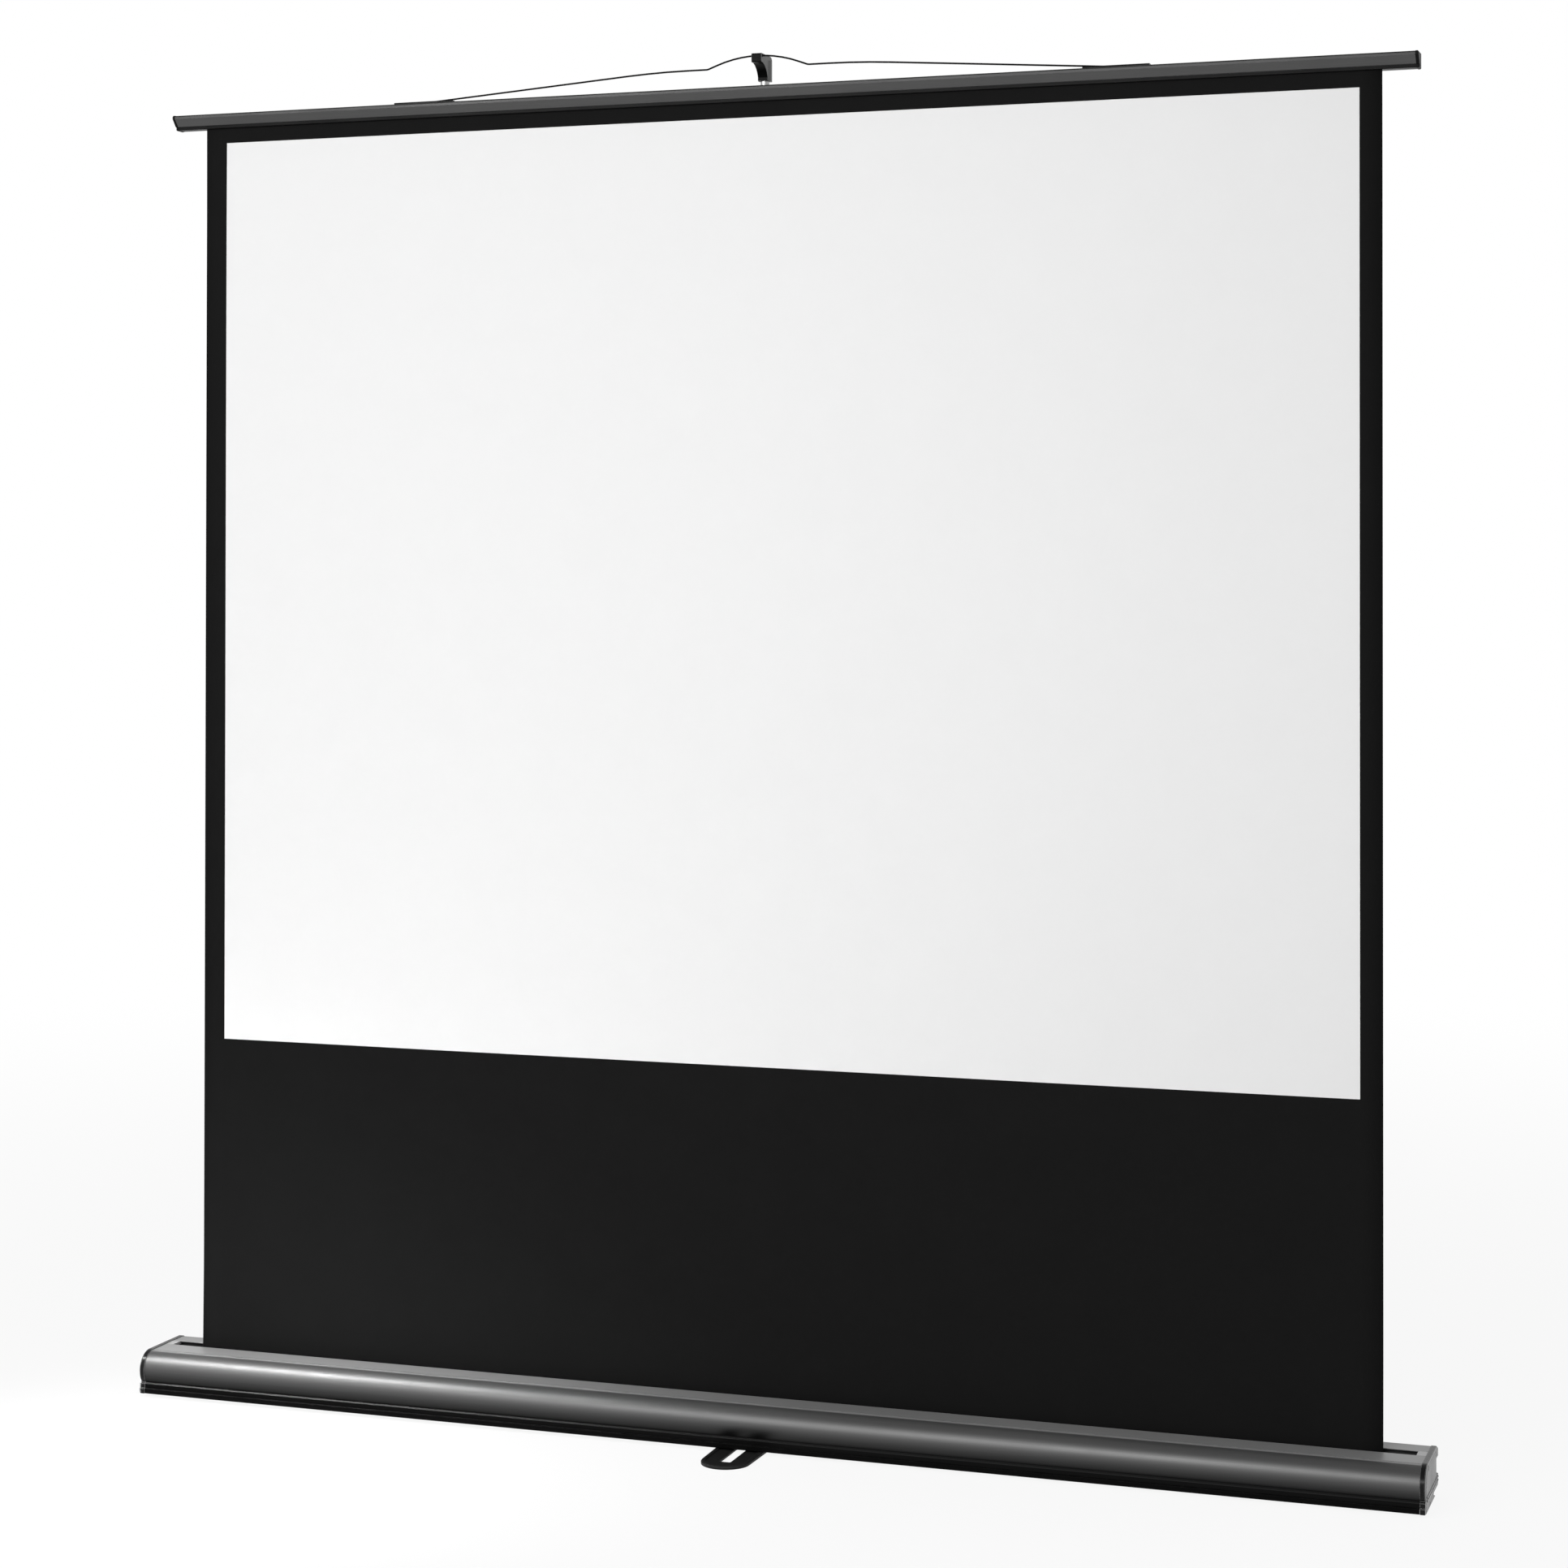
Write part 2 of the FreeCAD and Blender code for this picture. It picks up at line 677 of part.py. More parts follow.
def make_end_cap(side_name, side):
    body = new_body(f"{side_name}_end_cap")
    proud = s.cap_proud
    back = case_back_y + proud
    top = s.case_top + proud
    flange = cloth_y - s.flange_ahead - proud
    toe = cloth_y - s.base_ahead - s.cap_toe_proud
    outline = new_sketch(body, "YZ_Plane")
    draw(outline, [
        (toe, s.base_bottom),
        (cloth_y + s.cap_heel_behind, s.base_bottom),
        (cloth_y + s.cap_heel_behind, s.base_bottom + s.cap_heel_height),
        (cloth_y + s.cap_waist_behind, s.cap_waist_low),
        (cloth_y + s.cap_waist_behind, s.cap_waist_high),
        (back - s.back_radius, s.cap_waist_high, s.back_radius, "left"),
        (back, s.cap_waist_high + s.back_radius),
        (back, s.case_top - s.back_radius, s.back_radius + proud, "left"),
        (case_back_y - s.back_radius, top),
        (nose_y, top, s.nose_radius + proud, "left"),
        (nose_edge_y(s.nose_radius + proud), s.nose_low),
        (flange, s.flange_top),
        (flange, s.case_floor),
        (toe, s.case_floor - s.base_lip_bevel),
    ])
    for port_y in (front_port_y, rear_port_y):
        draw_circle(outline, port_y, s.port_height, s.cap_screw_radius + s.seat_clearance)
    pad(body, outline, s.cap_thickness, reverse=side < 0)
    outer = s.cap_thickness.value * side
    dress_edges(body, "Chamfer", s.cap_bevel,
                lambda edge: edge.Length > 2 * math.pi * s.port_radius.value * 0.6 and
                all(abs(vertex.X - outer) < 0.01 for vertex in edge.Vertexes))

    foot = new_sketch(body, "YZ_Plane")
    draw_box(foot, cloth_y - s.cap_foot_ahead, cloth_y + s.cap_foot_behind,
             0, s.base_bottom + s.cap_heel_height / 2)
    pad(body, foot, s.cap_thickness - s.cap_foot_inset, reverse=side < 0)

    spigot = new_sketch(body, "YZ_Plane")
    draw_box(spigot, cloth_y - s.spigot_ahead, cloth_y + s.spigot_behind, s.spigot_bottom, s.spigot_top)
    pad(body, spigot, s.spigot_length, reverse=side > 0)

    face = s.cap_thickness * side
    ribs = new_sketch(body, "YZ_Plane", face)
    for height in (s.upper_rib_height, s.lower_rib_height):
        draw_box(ribs, nose_edge_y(s.nose_radius) + s.cap_recess_margin, case_back_y - s.cap_recess_margin,
                 height - s.cap_rib_height / 2, height + s.cap_rib_height / 2)
    pad(body, ribs, s.cap_rib_proud, reverse=side < 0)

    recess = new_sketch(body, "YZ_Plane", face)
    draw_box(recess, rear_port_y + s.cap_recess_margin, back + proud,
             s.cap_recess_bottom, s.port_height - s.port_radius - s.cap_recess_margin)
    pocket(body, recess, s.cap_recess_depth, reverse=side < 0)
    dimple = new_sketch(body, "YZ_Plane", face)
    draw_circle(dimple, cloth_y - s.cap_dimple_ahead, s.cap_dimple_height, s.cap_dimple_radius)
    pocket(body, dimple, s.cap_dimple_depth, reverse=side < 0)
    sinks = new_sketch(body, "YZ_Plane", face)
    for port_y in (front_port_y, rear_port_y):
        draw_circle(sinks, port_y, s.port_height, s.cap_screw_head_radius + s.seat_clearance)
    pocket(body, sinks, s.cap_screw_sink, reverse=side < 0)

    bracket_holes = new_sketch(body, "YZ_Plane", -s.spigot_length * side)
    for across in (-1, 1):
        draw_circle(bracket_holes, roller_y + s.bracket_screw_spacing / 2 * across, s.roller_height,
                    s.bracket_screw_radius + s.seat_clearance)
    pocket(body, bracket_holes, s.spigot_length, reverse=side > 0)
    place(body, case_half * side)


def make_end_caps():
    spots = []
    for side_name, side in SIDES:
        make_end_cap(side_name, side)
        heading = "-x" if side > 0 else "+x"
        seat = case_half + s.cap_thickness - s.cap_screw_sink
        spots += [(heading, seat * side, port_y, s.port_height)
                  for port_y in (front_port_y, rear_port_y)]
    screws("end_cap_screws", s.cap_screw_head_radius, s.cap_screw_head_height, s.cap_screw_radius,
           s.cap_screw_length, spots)


def make_slot_plugs():
    for side_name, side in SIDES:
        body = new_body(f"{side_name}_slot_plug")
        half = s.slot_width / 2 - s.seat_clearance
        flange_half = half + s.plug_flange
        section = new_sketch(body, "YZ_Plane")
        draw(section, [
            (-flange_half, -s.plug_flange_height),
            (flange_half, -s.plug_flange_height),
            (flange_half, 0),
            (half, 0),
            (half, s.case_wall),
            (-half, s.case_wall),
            (-half, 0),
            (-flange_half, 0),
        ])
        pad(body, section, s.plug_length, reverse=side > 0)
        place(body, case_half * side, cloth_y, chamber_top_z)


def make_swivel_foot():
    body = new_body("swivel_foot")
    outline = new_sketch(body, "XY_Plane")
    draw(outline, [
        (s.foot_half_width, 0),
        (s.foot_tip_radius, s.foot_tip_centre, s.foot_tip_radius, "left"),
        (0, s.foot_tip_centre + s.foot_tip_radius, s.foot_tip_radius, "left"),
        (-s.foot_tip_radius, s.foot_tip_centre),
        (-s.foot_half_width, 0),
        (-s.foot_tip_radius, -s.foot_tip_centre, s.foot_tip_radius, "left"),
        (0, -s.foot_tip_centre - s.foot_tip_radius, s.foot_tip_radius, "left"),
        (s.foot_tip_radius, -s.foot_tip_centre),
    ])
    pad(body, outline, s.foot_thickness)
    dress_edges(body, "Chamfer", s.foot_edge_bevel,
                lambda edge: all(abs(vertex.Z - s.foot_thickness.value) < 0.01 for vertex in edge.Vertexes))

    dishes = new_sketch(body, "XY_Plane", s.foot_thickness)
    slots = new_sketch(body, "XY_Plane", s.foot_thickness - s.foot_dish_depth)
    dish_radius = s.foot_tip_radius - s.foot_rim
    slot_half = s.foot_slot_width / 2
    slot_in = slot_half - s.foot_slot_corner
    for way, turn in ((-1, "right"), (1, "left")):
        centre = s.foot_tip_centre * way
        draw(dishes, [
            (dish_radius, s.foot_dish_start * way),
            (dish_radius, centre, dish_radius, turn),
            (0, centre + dish_radius * way, dish_radius, turn),
            (-dish_radius, centre),
            (-dish_radius, s.foot_dish_start * way),
        ])
        near, far = s.foot_slot_start * way, s.foot_slot_end * way
        step = s.foot_slot_corner * way
        draw(slots, [
            (slot_half, near + step),
            (slot_half, far - step, s.foot_slot_corner, turn),
            (slot_in, far),
            (-slot_in, far, s.foot_slot_corner, turn),
            (-slot_half, far - step),
            (-slot_half, near + step, s.foot_slot_corner, turn),
            (-slot_in, near),
            (slot_in, near, s.foot_slot_corner, turn),
        ])
    pocket(body, dishes, s.foot_dish_depth)
    pocket(body, slots)
    pivot = new_sketch(body, "XY_Plane", s.foot_thickness)
    draw_circle(pivot, 0, 0, s.bolt_radius + s.running_clearance)
    pocket(body, pivot)
    sink = new_sketch(body, "XY_Plane")
    draw_circle(sink, 0, 0, s.bolt_head_radius + s.seat_clearance)
    pocket(body, sink, s.bolt_head_gap + s.bolt_head_height, reverse=True)

    nut_bottom = chamber_floor_z
    upright("foot_pivot_bolt", [
        (0, s.bolt_head_gap),
        (s.bolt_head_radius, s.bolt_head_gap),
        (s.bolt_head_radius, s.bolt_head_gap + s.bolt_head_height),
        (s.bolt_radius, s.bolt_head_gap + s.bolt_head_height),
        (s.bolt_radius, nut_bottom + s.nut_height),
        (0, nut_bottom + s.nut_height),
    ])
    ring("foot_washer", s.bolt_radius + s.running_clearance, s.boss_radius - s.base_wall,
         s.foot_thickness, s.base_bottom)

    nut = new_body("foot_lock_nut")
    half = s.nut_flats / 2
    corner = s.nut_flats / root(as_size(3))
    hexagon = new_sketch(nut, "XY_Plane")
    draw(hexagon, [(corner, 0), (corner / 2, half), (-corner / 2, half),
                   (-corner, 0), (-corner / 2, -half), (corner / 2, -half)])
    draw_circle(hexagon, 0, 0, s.bolt_radius)
    pad(nut, hexagon, s.nut_height)
    place(nut, 0, 0, nut_bottom)


def ring(name, inner, outer, low, high):
    return upright(name, [(inner, low), (outer, low), (outer, high), (inner, high)])


def make_roller():
    half = cloth_half + s.tube_overhang
    inner = s.tube_radius - s.tube_wall
    made = [lengthwise("roller_tube", [
        (-half, inner), (half, inner), (half, s.tube_radius), (-half, s.tube_radius)])]

    made.append(lengthwise("cloth_wraps", [
        (-cloth_half, s.tube_radius), (cloth_half, s.tube_radius),
        (cloth_half, wraps_radius), (-cloth_half, wraps_radius)]))

    for name, side, bore in (("spring_plug", -1, s.shaft_radius + s.running_clearance),
                             ("idler_plug", 1, s.shaft_radius)):
        flange = (half + s.roller_plug_flange) * side
        shoulder = half * side
        tail = (half - s.roller_plug_length) * side
        made.append(lengthwise(name, [
            (flange, bore), (flange, s.tube_radius), (shoulder, s.tube_radius),
            (shoulder, inner), (tail, inner), (tail, bore)]))

    bracket_inner = case_half - s.spigot_length - s.bracket_thickness
    pin_start = half - s.roller_plug_length
    made.append(lengthwise("idler_pin", [
        (pin_start, 0), (bracket_inner, 0), (bracket_inner, s.shaft_radius), (pin_start, s.shaft_radius)]))

    shaft_end = -bracket_inner + s.shaft_length
    made.append(lengthwise("spring_shaft", [
        (-bracket_inner, 0), (shaft_end, 0), (shaft_end, s.shaft_radius), (-bracket_inner, s.shaft_radius)]))

    anchor_start = shaft_end - s.anchor_length
    anchor_bore = s.shaft_radius + s.running_clearance
    made.append(lengthwise("spring_anchor", [
        (anchor_start, anchor_bore), (shaft_end, anchor_bore), (shaft_end, inner), (anchor_start, inner)]))

    spring_start = -half + s.roller_plug_length + s.soft_clearance
    spring_end = anchor_start - s.soft_clearance
    made.append(lengthwise("roller_spring", [
        (spring_start, s.spring_inner_radius), (spring_end, s.spring_inner_radius),
        (spring_end, s.spring_outer_radius), (spring_start, s.spring_outer_radius)]))
    for body in made:
        place(body, 0, roller_y, s.roller_height)


def make_brackets():
    spots = []
    for name, side, bore in (("spring_end_bracket", -1, s.shaft_radius),
                             ("idler_end_bracket", 1, s.shaft_radius + s.running_clearance)):
        body = new_body(name)
        wide, tall, corner = s.bracket_half_width, s.bracket_half_height, s.bracket_corner
        plate = new_sketch(body, "YZ_Plane")
        draw(plate, [
            (wide, corner - tall),
            (wide, tall - corner, corner, "left"),
            (wide - corner, tall),
            (corner - wide, tall, corner, "left"),
            (-wide, tall - corner),
            (-wide, corner - tall, corner, "left"),
            (corner - wide, -tall),
            (wide - corner, -tall, corner, "left"),
        ])
        for across in (-1, 1):
            draw_circle(plate, s.bracket_screw_spacing / 2 * across, 0,
                        s.bracket_screw_radius + s.seat_clearance)
        pad(body, plate, s.bracket_thickness, reverse=side > 0)
        hub = new_sketch(body, "YZ_Plane", -s.bracket_thickness * side)
        draw_circle(hub, 0, 0, s.hub_radius)
        pad(body, hub, s.hub_length, reverse=side > 0)
        hole = new_sketch(body, "YZ_Plane", -(s.bracket_thickness + s.hub_length) * side)
        draw_circle(hole, 0, 0, bore)
        pocket(body, hole, s.hub_length, reverse=side > 0)
        place(body, (case_half - s.spigot_length) * side, roller_y, s.roller_height)
        heading = "+x" if side > 0 else "-x"
        spots += [(heading, (case_half - s.spigot_length - s.bracket_thickness) * side,
                   roller_y + s.bracket_screw_spacing / 2 * across, s.roller_height) for across in (-1, 1)]
    screws("bracket_screws", s.bracket_screw_head_radius, s.bracket_screw_head_height, s.bracket_screw_radius,
           s.bracket_screw_length, spots)


def make_cloth():
    body = new_body("screen_cloth")
    rod_bottom = s.rail_bottom + s.channel_height - s.rod_radius
    half = s.cloth_thickness / 2
    section = new_sketch(body, "YZ_Plane")
    draw_box(section, cloth_y - half, cloth_y + half, s.roller_height, rod_bottom - s.soft_clearance)
    pad(body, section, s.cloth_width)
    place(body, -cloth_half)


def rail_front_at(height):
    """Distance of the rail's sloping front ahead of the cloth at a height above its bottom."""
    share = (height - s.rail_lip_top) / (s.rail_brow_low - s.rail_lip_top)
    return s.rail_step_ahead + (s.rail_brow_ahead - s.rail_step_ahead) * share


def rail_outline(proud):
    return [
        (s.rail_behind + proud, -proud),
        (s.rail_behind + proud, s.rail_height + proud),
        (s.rail_brow_radius - s.rail_brow_ahead, s.rail_height + proud, s.rail_brow_radius + proud, "left"),
        (-s.rail_brow_ahead - proud, s.rail_height - s.rail_brow_radius),
        (-s.rail_brow_ahead - proud, s.rail_brow_low),
        (-s.rail_step_ahead - proud, s.rail_lip_top - proud),
        (-s.rail_lip_ahead - proud, s.rail_lip_top - proud),
        (-s.rail_lip_ahead - proud, s.rail_lip_radius, s.rail_lip_radius + proud, "left"),
        (s.rail_lip_radius - s.rail_lip_ahead, -proud),
    ]


def rail_hollow(margin):
    top = s.rail_height - s.rail_wall - margin
    floor = s.rail_floor + margin
    inset = s.rail_wall + margin
    return [
        (s.rail_behind - inset, floor),
        (s.rail_behind - inset, top),
        (inset - s.rail_brow_ahead, top),
        (inset - s.rail_brow_ahead, s.rail_brow_low),
        (inset - rail_front_at(floor), floor),
    ]


def make_top_rail():
    body = new_body("top_rail")
    section = new_sketch(body, "YZ_Plane")
    draw(section, rail_outline(as_size(0)))
    draw(section, rail_hollow(as_size(0)))
    pad(body, section, rail_length)
    channel = new_sketch(body, "YZ_Plane")
    draw_circle(channel, 0, s.channel_height, s.channel_radius)
    pocket(body, channel, reverse=True)
    mouth = new_sketch(body, "YZ_Plane")
    draw_box(mouth, -s.channel_mouth / 2, s.channel_mouth / 2, -s.rail_wall, s.channel_height)
    pocket(body, mouth, reverse=True)
    screw_holes = new_sketch(body, "XY_Plane", s.rail_height)
    for _, side in SIDES:
        draw_circle(screw_holes, rail_half + clip_screw_place * side, 0,
                    s.clip_screw_radius + s.seat_clearance)
    pocket(body, screw_holes, s.rail_wall)
    place(body, -rail_half, cloth_y, s.rail_bottom)

    rod = cylinder("hem_rod", s.rod_radius, s.cloth_width, "+x")
    rod.Label = "hem_rod"
    place(rod, -cloth_half, cloth_y, s.rail_bottom + s.channel_height)
    nodes.append(rod)

    for side_name, side in SIDES:
        cap = new_body(f"{side_name}_rail_cap")
        pad(cap, draw(new_sketch(cap, "YZ_Plane"), rail_outline(s.rail_cap_proud)), s.rail_cap_thickness,
            reverse=side < 0)
        outer = s.rail_cap_thickness.value * side
        dress_edges(cap, "Chamfer", s.rail_cap_bevel,
                    lambda edge: all(abs(vertex.X - outer) < 0.01 for vertex in edge.Vertexes))
        pad(cap, draw(new_sketch(cap, "YZ_Plane"), rail_hollow(s.seat_clearance)), s.rail_cap_spigot,
            reverse=side > 0)
        place(cap, rail_half * side, cloth_y, s.rail_bottom)


def make_lift_bow():
    body = new_body("lift_bow")
    half_path = [(s.bow_end, s.bow_seat_height), (s.bow_end - s.bow_flat_length, s.bow_seat_height),
                 (s.bow_rise_end, s.bow_side_height), (s.handle_half_span, s.bow_side_height)]
    corners = ([(-x, z) for x, z in half_path] + [(0, s.handle_peak_height)] + half_path[::-1])
    half_bends = [s.bow_start_bend, s.bow_side_bend, s.kink_bend]
    path = draw_path(new_sketch(body, "XZ_Plane"), corners, half_bends + [s.handle_bend] + half_bends[::-1])
    wire = new_sketch(body, "YZ_Plane", -s.bow_end)
    draw_circle(wire, 0, s.bow_seat_height, s.wire_radius)
    doc.recompute()
    pipe = body.newObject("PartDesign::AdditivePipe", "lift_bow_pipe")
    pipe.Profile = wire
    pipe.Spine = path
    place(body, 0, cloth_y, rail_top_z)

    wire_room = s.wire_radius + s.running_clearance
    spots = []
    for side_name, side in SIDES:
        clip = new_body(f"{side_name}_bow_clip")
        half = s.clip_width / 2
        corner = s.clip_corner
        section = new_sketch(clip, "YZ_Plane")
        draw(section, [
            (-half, 0),
            (half, 0),
            (half, s.clip_height - corner, corner, "left"),
            (half - corner, s.clip_height),
            (corner - half, s.clip_height, corner, "left"),
            (-half, s.clip_height - corner),
        ])
        pad(clip, section, s.clip_length, reverse=side < 0)
        groove = new_sketch(clip, "YZ_Plane")
        draw(groove, [
            (-wire_room, s.clip_height + wire_room),
            (-wire_room, s.bow_seat_height, wire_room, "left"),
            (0, s.bow_seat_height - wire_room, wire_room, "left"),
            (wire_room, s.bow_seat_height),
            (wire_room, s.clip_height + wire_room),
        ])
        pocket(clip, groove, s.bow_end - clip_start + s.running_clearance, reverse=side > 0)
        screw_x = (clip_screw_place - clip_start) * side
        hole = new_sketch(clip, "XY_Plane", s.clip_height)
        draw_circle(hole, screw_x, 0, s.clip_screw_radius + s.seat_clearance)
        pocket(clip, hole)
        sink = new_sketch(clip, "XY_Plane", s.clip_height)
        draw_circle(sink, screw_x, 0, s.clip_screw_head_radius + s.seat_clearance)
        pocket(clip, sink, s.clip_screw_head_height)
        place(clip, clip_start * side, cloth_y, rail_top_z)
        seat = rail_top_z + s.clip_height - s.clip_screw_head_height
        spots.append(("-z", clip_screw_place * side, cloth_y, seat))
    screws("bow_clip_screws", s.clip_screw_head_radius, s.clip_screw_head_height, s.clip_screw_radius,
           s.clip_screw_length, spots)


def make_collar(name, tube_radius, tube_top, sliding_radius):
    """A fluted clamp nut over the top of a tube, with the split collet that it presses inside."""
    bore = tube_radius + s.sliding_clearance
    outer = tube_radius + s.collar_wall
    low = tube_top - s.collar_overlap
    high = low + s.collar_length
    collar = upright(f"{name}_lock_collar", [
        (bore, low),
        (outer - s.collar_bevel, low),
        (outer, low + s.collar_bevel),
        (outer, high - s.collar_bevel),
        (outer - s.collar_bevel, high),
        (sliding_radius + s.seat_clearance, high),
        (sliding_radius + s.seat_clearance, high - s.collar_lip),
        (bore, high - s.collar_lip),
    ])
    flute = new_sketch(collar, "XY_Plane", low + s.collar_bevel)
    draw_circle(flute, outer + s.collar_flute_radius / 2, 0, s.collar_flute_radius)
    cut = pocket(collar, flute, s.collar_flute_length, reverse=True)
    turn_pattern(collar, cut, flute, "N_Axis", COLLAR_FLUTES)
    place(collar, 0, pole_y)

    collet = upright(f"{name}_collet", [
        (sliding_radius + s.running_clearance, tube_top),
        (tube_radius, tube_top),
        (tube_radius - s.sliding_clearance, high - s.collar_lip - s.seat_clearance),
        (sliding_radius + s.running_clearance, high - s.collar_lip - s.seat_clearance),
    ])
    split = new_sketch(collet, "XY_Plane", tube_top)
    draw_box(split, 0, tube_radius * 2, -s.collet_split / 2, s.collet_split / 2)
    pocket(collet, split, reverse=True)
    place(collet, 0, pole_y)


def make_pole():
    lower_inner = s.lower_tube_radius - s.pole_wall
    mid_inner = s.mid_tube_radius - s.pole_wall
    top_inner = s.top_tube_radius - s.pole_wall
    pieces = [
        ring("pole_lower_tube", lower_inner, s.lower_tube_radius, s.lower_tube_bottom, lower_tube_top),
        ring("pole_mid_tube", mid_inner, s.mid_tube_radius, mid_tube_bottom, mid_tube_top),
        ring("mid_glide_bush", s.mid_tube_radius, lower_inner - s.sliding_clearance,
             mid_tube_bottom, mid_tube_bottom + s.bush_length),
        ring("top_glide_bush", s.top_tube_radius, mid_inner - s.sliding_clearance,
             top_tube_bottom, top_tube_bottom + s.bush_length),
    ]
    plug_top = s.lower_tube_bottom + s.pole_plug_length
    pieces.append(upright("lower_tube_plug", [
        (0, s.lower_tube_bottom - s.pole_plug_flange),
        (s.lower_tube_radius, s.lower_tube_bottom - s.pole_plug_flange),
        (s.lower_tube_radius, s.lower_tube_bottom),
        (lower_inner, s.lower_tube_bottom),
        (lower_inner, plug_top),
        (0, plug_top),
    ]))
    top_tube = ring("pole_top_tube", top_inner, s.top_tube_radius, top_tube_bottom, top_tube_top)
    hole = new_sketch(top_tube, "XZ_Plane")
    draw_circle(hole, 0, head_bottom + s.hook_screw_height, s.hook_screw_radius + s.seat_clearance)
    pocket(top_tube, hole, s.top_tube_radius * 2)
    pieces.append(top_tube)
    for piece in pieces:
        place(piece, 0, pole_y)
    make_collar("lower", s.lower_tube_radius, lower_tube_top, s.mid_tube_radius)
    make_collar("upper", s.mid_tube_radius, mid_tube_top, s.top_tube_radius)


def make_pole_socket():
    body = new_body("pole_socket")
    half_depth = (bay_back_y - bay_front_y) / 2 - s.seat_clearance
    bottom = chamber_floor_z
    block = new_sketch(body, "XY_Plane", bottom)
    draw_box(block, -s.socket_half_width, s.socket_half_width, -half_depth, half_depth)
    pad(body, block, s.case_top - bottom)
    flange = new_sketch(body, "XY_Plane", s.case_top)
    flange_half = s.socket_half_width + s.socket_flange
    draw_box(flange, -flange_half, flange_half, -half_depth, half_depth)
    pad(body, flange, s.socket_flange_height)
    bore = new_sketch(body, "XY_Plane", s.case_top + s.socket_flange_height)
    draw_circle(bore, 0, 0, s.lower_tube_radius + s.sliding_clearance)
    pocket(body, bore, s.case_top + s.socket_flange_height - s.socket_floor)
    rear = half_depth
    stem_hole = new_sketch(body, "XZ_Plane", -rear)
    draw_circle(stem_hole, 0, s.knob_height, s.knob_stem_radius + s.running_clearance)
    pocket(body, stem_hole, rear, reverse=True)
    screw_holes = new_sketch(body, "XZ_Plane", -rear)
    for _, side in SIDES:
        draw_circle(screw_holes, s.socket_screw_place * side, s.socket_screw_height,
                    s.socket_screw_radius + s.seat_clearance)
    pocket(body, screw_holes, s.socket_screw_length, reverse=True)
    place(body, 0, pole_y)
    screws("socket_screws", s.socket_screw_head_radius, s.socket_screw_head_height, s.socket_screw_radius,
           s.socket_screw_length, [("-y", s.socket_screw_place * side, case_back_y, s.socket_screw_height)
                                   for _, side in SIDES])


def make_thumb_screw():
    """The fluted knob behind the case, whose stem clamps the pole in its socket."""
    body = new_body("socket_thumb_screw")
    tip = pole_y + s.lower_tube_radius + s.soft_clearance - case_back_y
    hub_end = s.knob_gap + s.knob_hub_length
    knob_end = hub_end + s.knob_length
    outline = new_sketch(body, "XY_Plane")
    draw(outline, [
        (0, tip),
        (s.knob_stem_radius, tip),
        (s.knob_stem_radius, s.knob_gap),
        (s.knob_hub_radius, s.knob_gap),
        (s.knob_hub_radius, hub_end),
        (s.knob_radius, hub_end),
        (s.knob_radius, knob_end),
        (0, knob_end),
    ])
    revolve(body, outline, "V_Axis")
    flute = new_sketch(body, "XZ_Plane", -knob_end)
    draw_circle(flute, s.knob_radius + s.knob_flute_radius / 2, 0, s.knob_flute_radius)
    cut = pocket(body, flute, s.knob_length, reverse=True)
    turn_pattern(body, cut, flute, "N_Axis", KNOB_FLUTES)
    place(body, 0, case_back_y, s.knob_height)


def make_hook_head():
    body = new_body("hook_head")
    nose_centre = cloth_y - pole_y
    nose_front = nose_centre - s.nose_half_depth
    nose_back = nose_centre + s.nose_half_depth
    nose_low = s.head_height - s.nose_depth
    corner = s.nose_corner
    boss_front = -s.head_behind_axis
    section = new_sketch(body, "YZ_Plane", -s.head_arm_width / 2)
    draw(section, [
        (s.head_behind_axis, 0),
        (s.head_behind_axis, s.head_height - s.head_back_radius, s.head_back_radius, "left"),
        (s.head_behind_axis - s.head_back_radius, s.head_height),
        (nose_front + corner, s.head_height, corner, "left"),
        (nose_front, s.head_height - corner),
        (nose_front, nose_low + corner, corner, "left"),
        (nose_front + corner, nose_low),
        (nose_back - s.scoop_inset, nose_low, s.scoop_radius, "right"),
        (boss_front, s.scoop_low),
        (boss_front, 0),
    ])
    pad(body, section, s.head_arm_width)
    boss = new_sketch(body, "XY_Plane")
    draw_circle(boss, 0, 0, s.head_boss_width / 2)
    pad(body, boss, s.head_height - s.head_back_radius)
    bore = new_sketch(body, "XY_Plane")
    draw_circle(bore, 0, 0, s.top_tube_radius)
    pocket(body, bore, s.head_bore_depth, reverse=True)
    wire_bottom = rail_top_z - head_bottom + bow_peak_height() - s.wire_radius
    groove = new_sketch(body, "YZ_Plane", -s.head_arm_width / 2)
    draw_box(groove, nose_centre - s.wire_slot_width / 2, nose_centre + s.wire_slot_width / 2,
             wire_bottom - s.soft_clearance * 2, s.head_height + s.wire_slot_width)
    pocket(body, groove, reverse=True)
    screw_hole = new_sketch(body, "XZ_Plane", -s.head_behind_axis)
    draw_circle(screw_hole, 0, s.hook_screw_height, s.hook_screw_radius + s.seat_clearance)
    pocket(body, screw_hole, s.head_behind_axis, reverse=True)
    place(body, 0, pole_y, head_bottom)
    screws("hook_screw", s.hook_screw_head_radius, s.hook_screw_head_height, s.hook_screw_radius,
           s.hook_screw_length, [("-y", 0, pole_y + s.head_behind_axis, head_bottom + s.hook_screw_height)])


def bow_peak_height():
    """Height of the wire's centre line above the rail's top, at the middle of the handle."""
    rise = s.handle_peak_height - s.bow_side_height
    slant = root(rise * rise + s.handle_half_span * s.handle_half_span)
    return s.handle_peak_height - s.handle_bend * (slant / s.handle_half_span - 1)


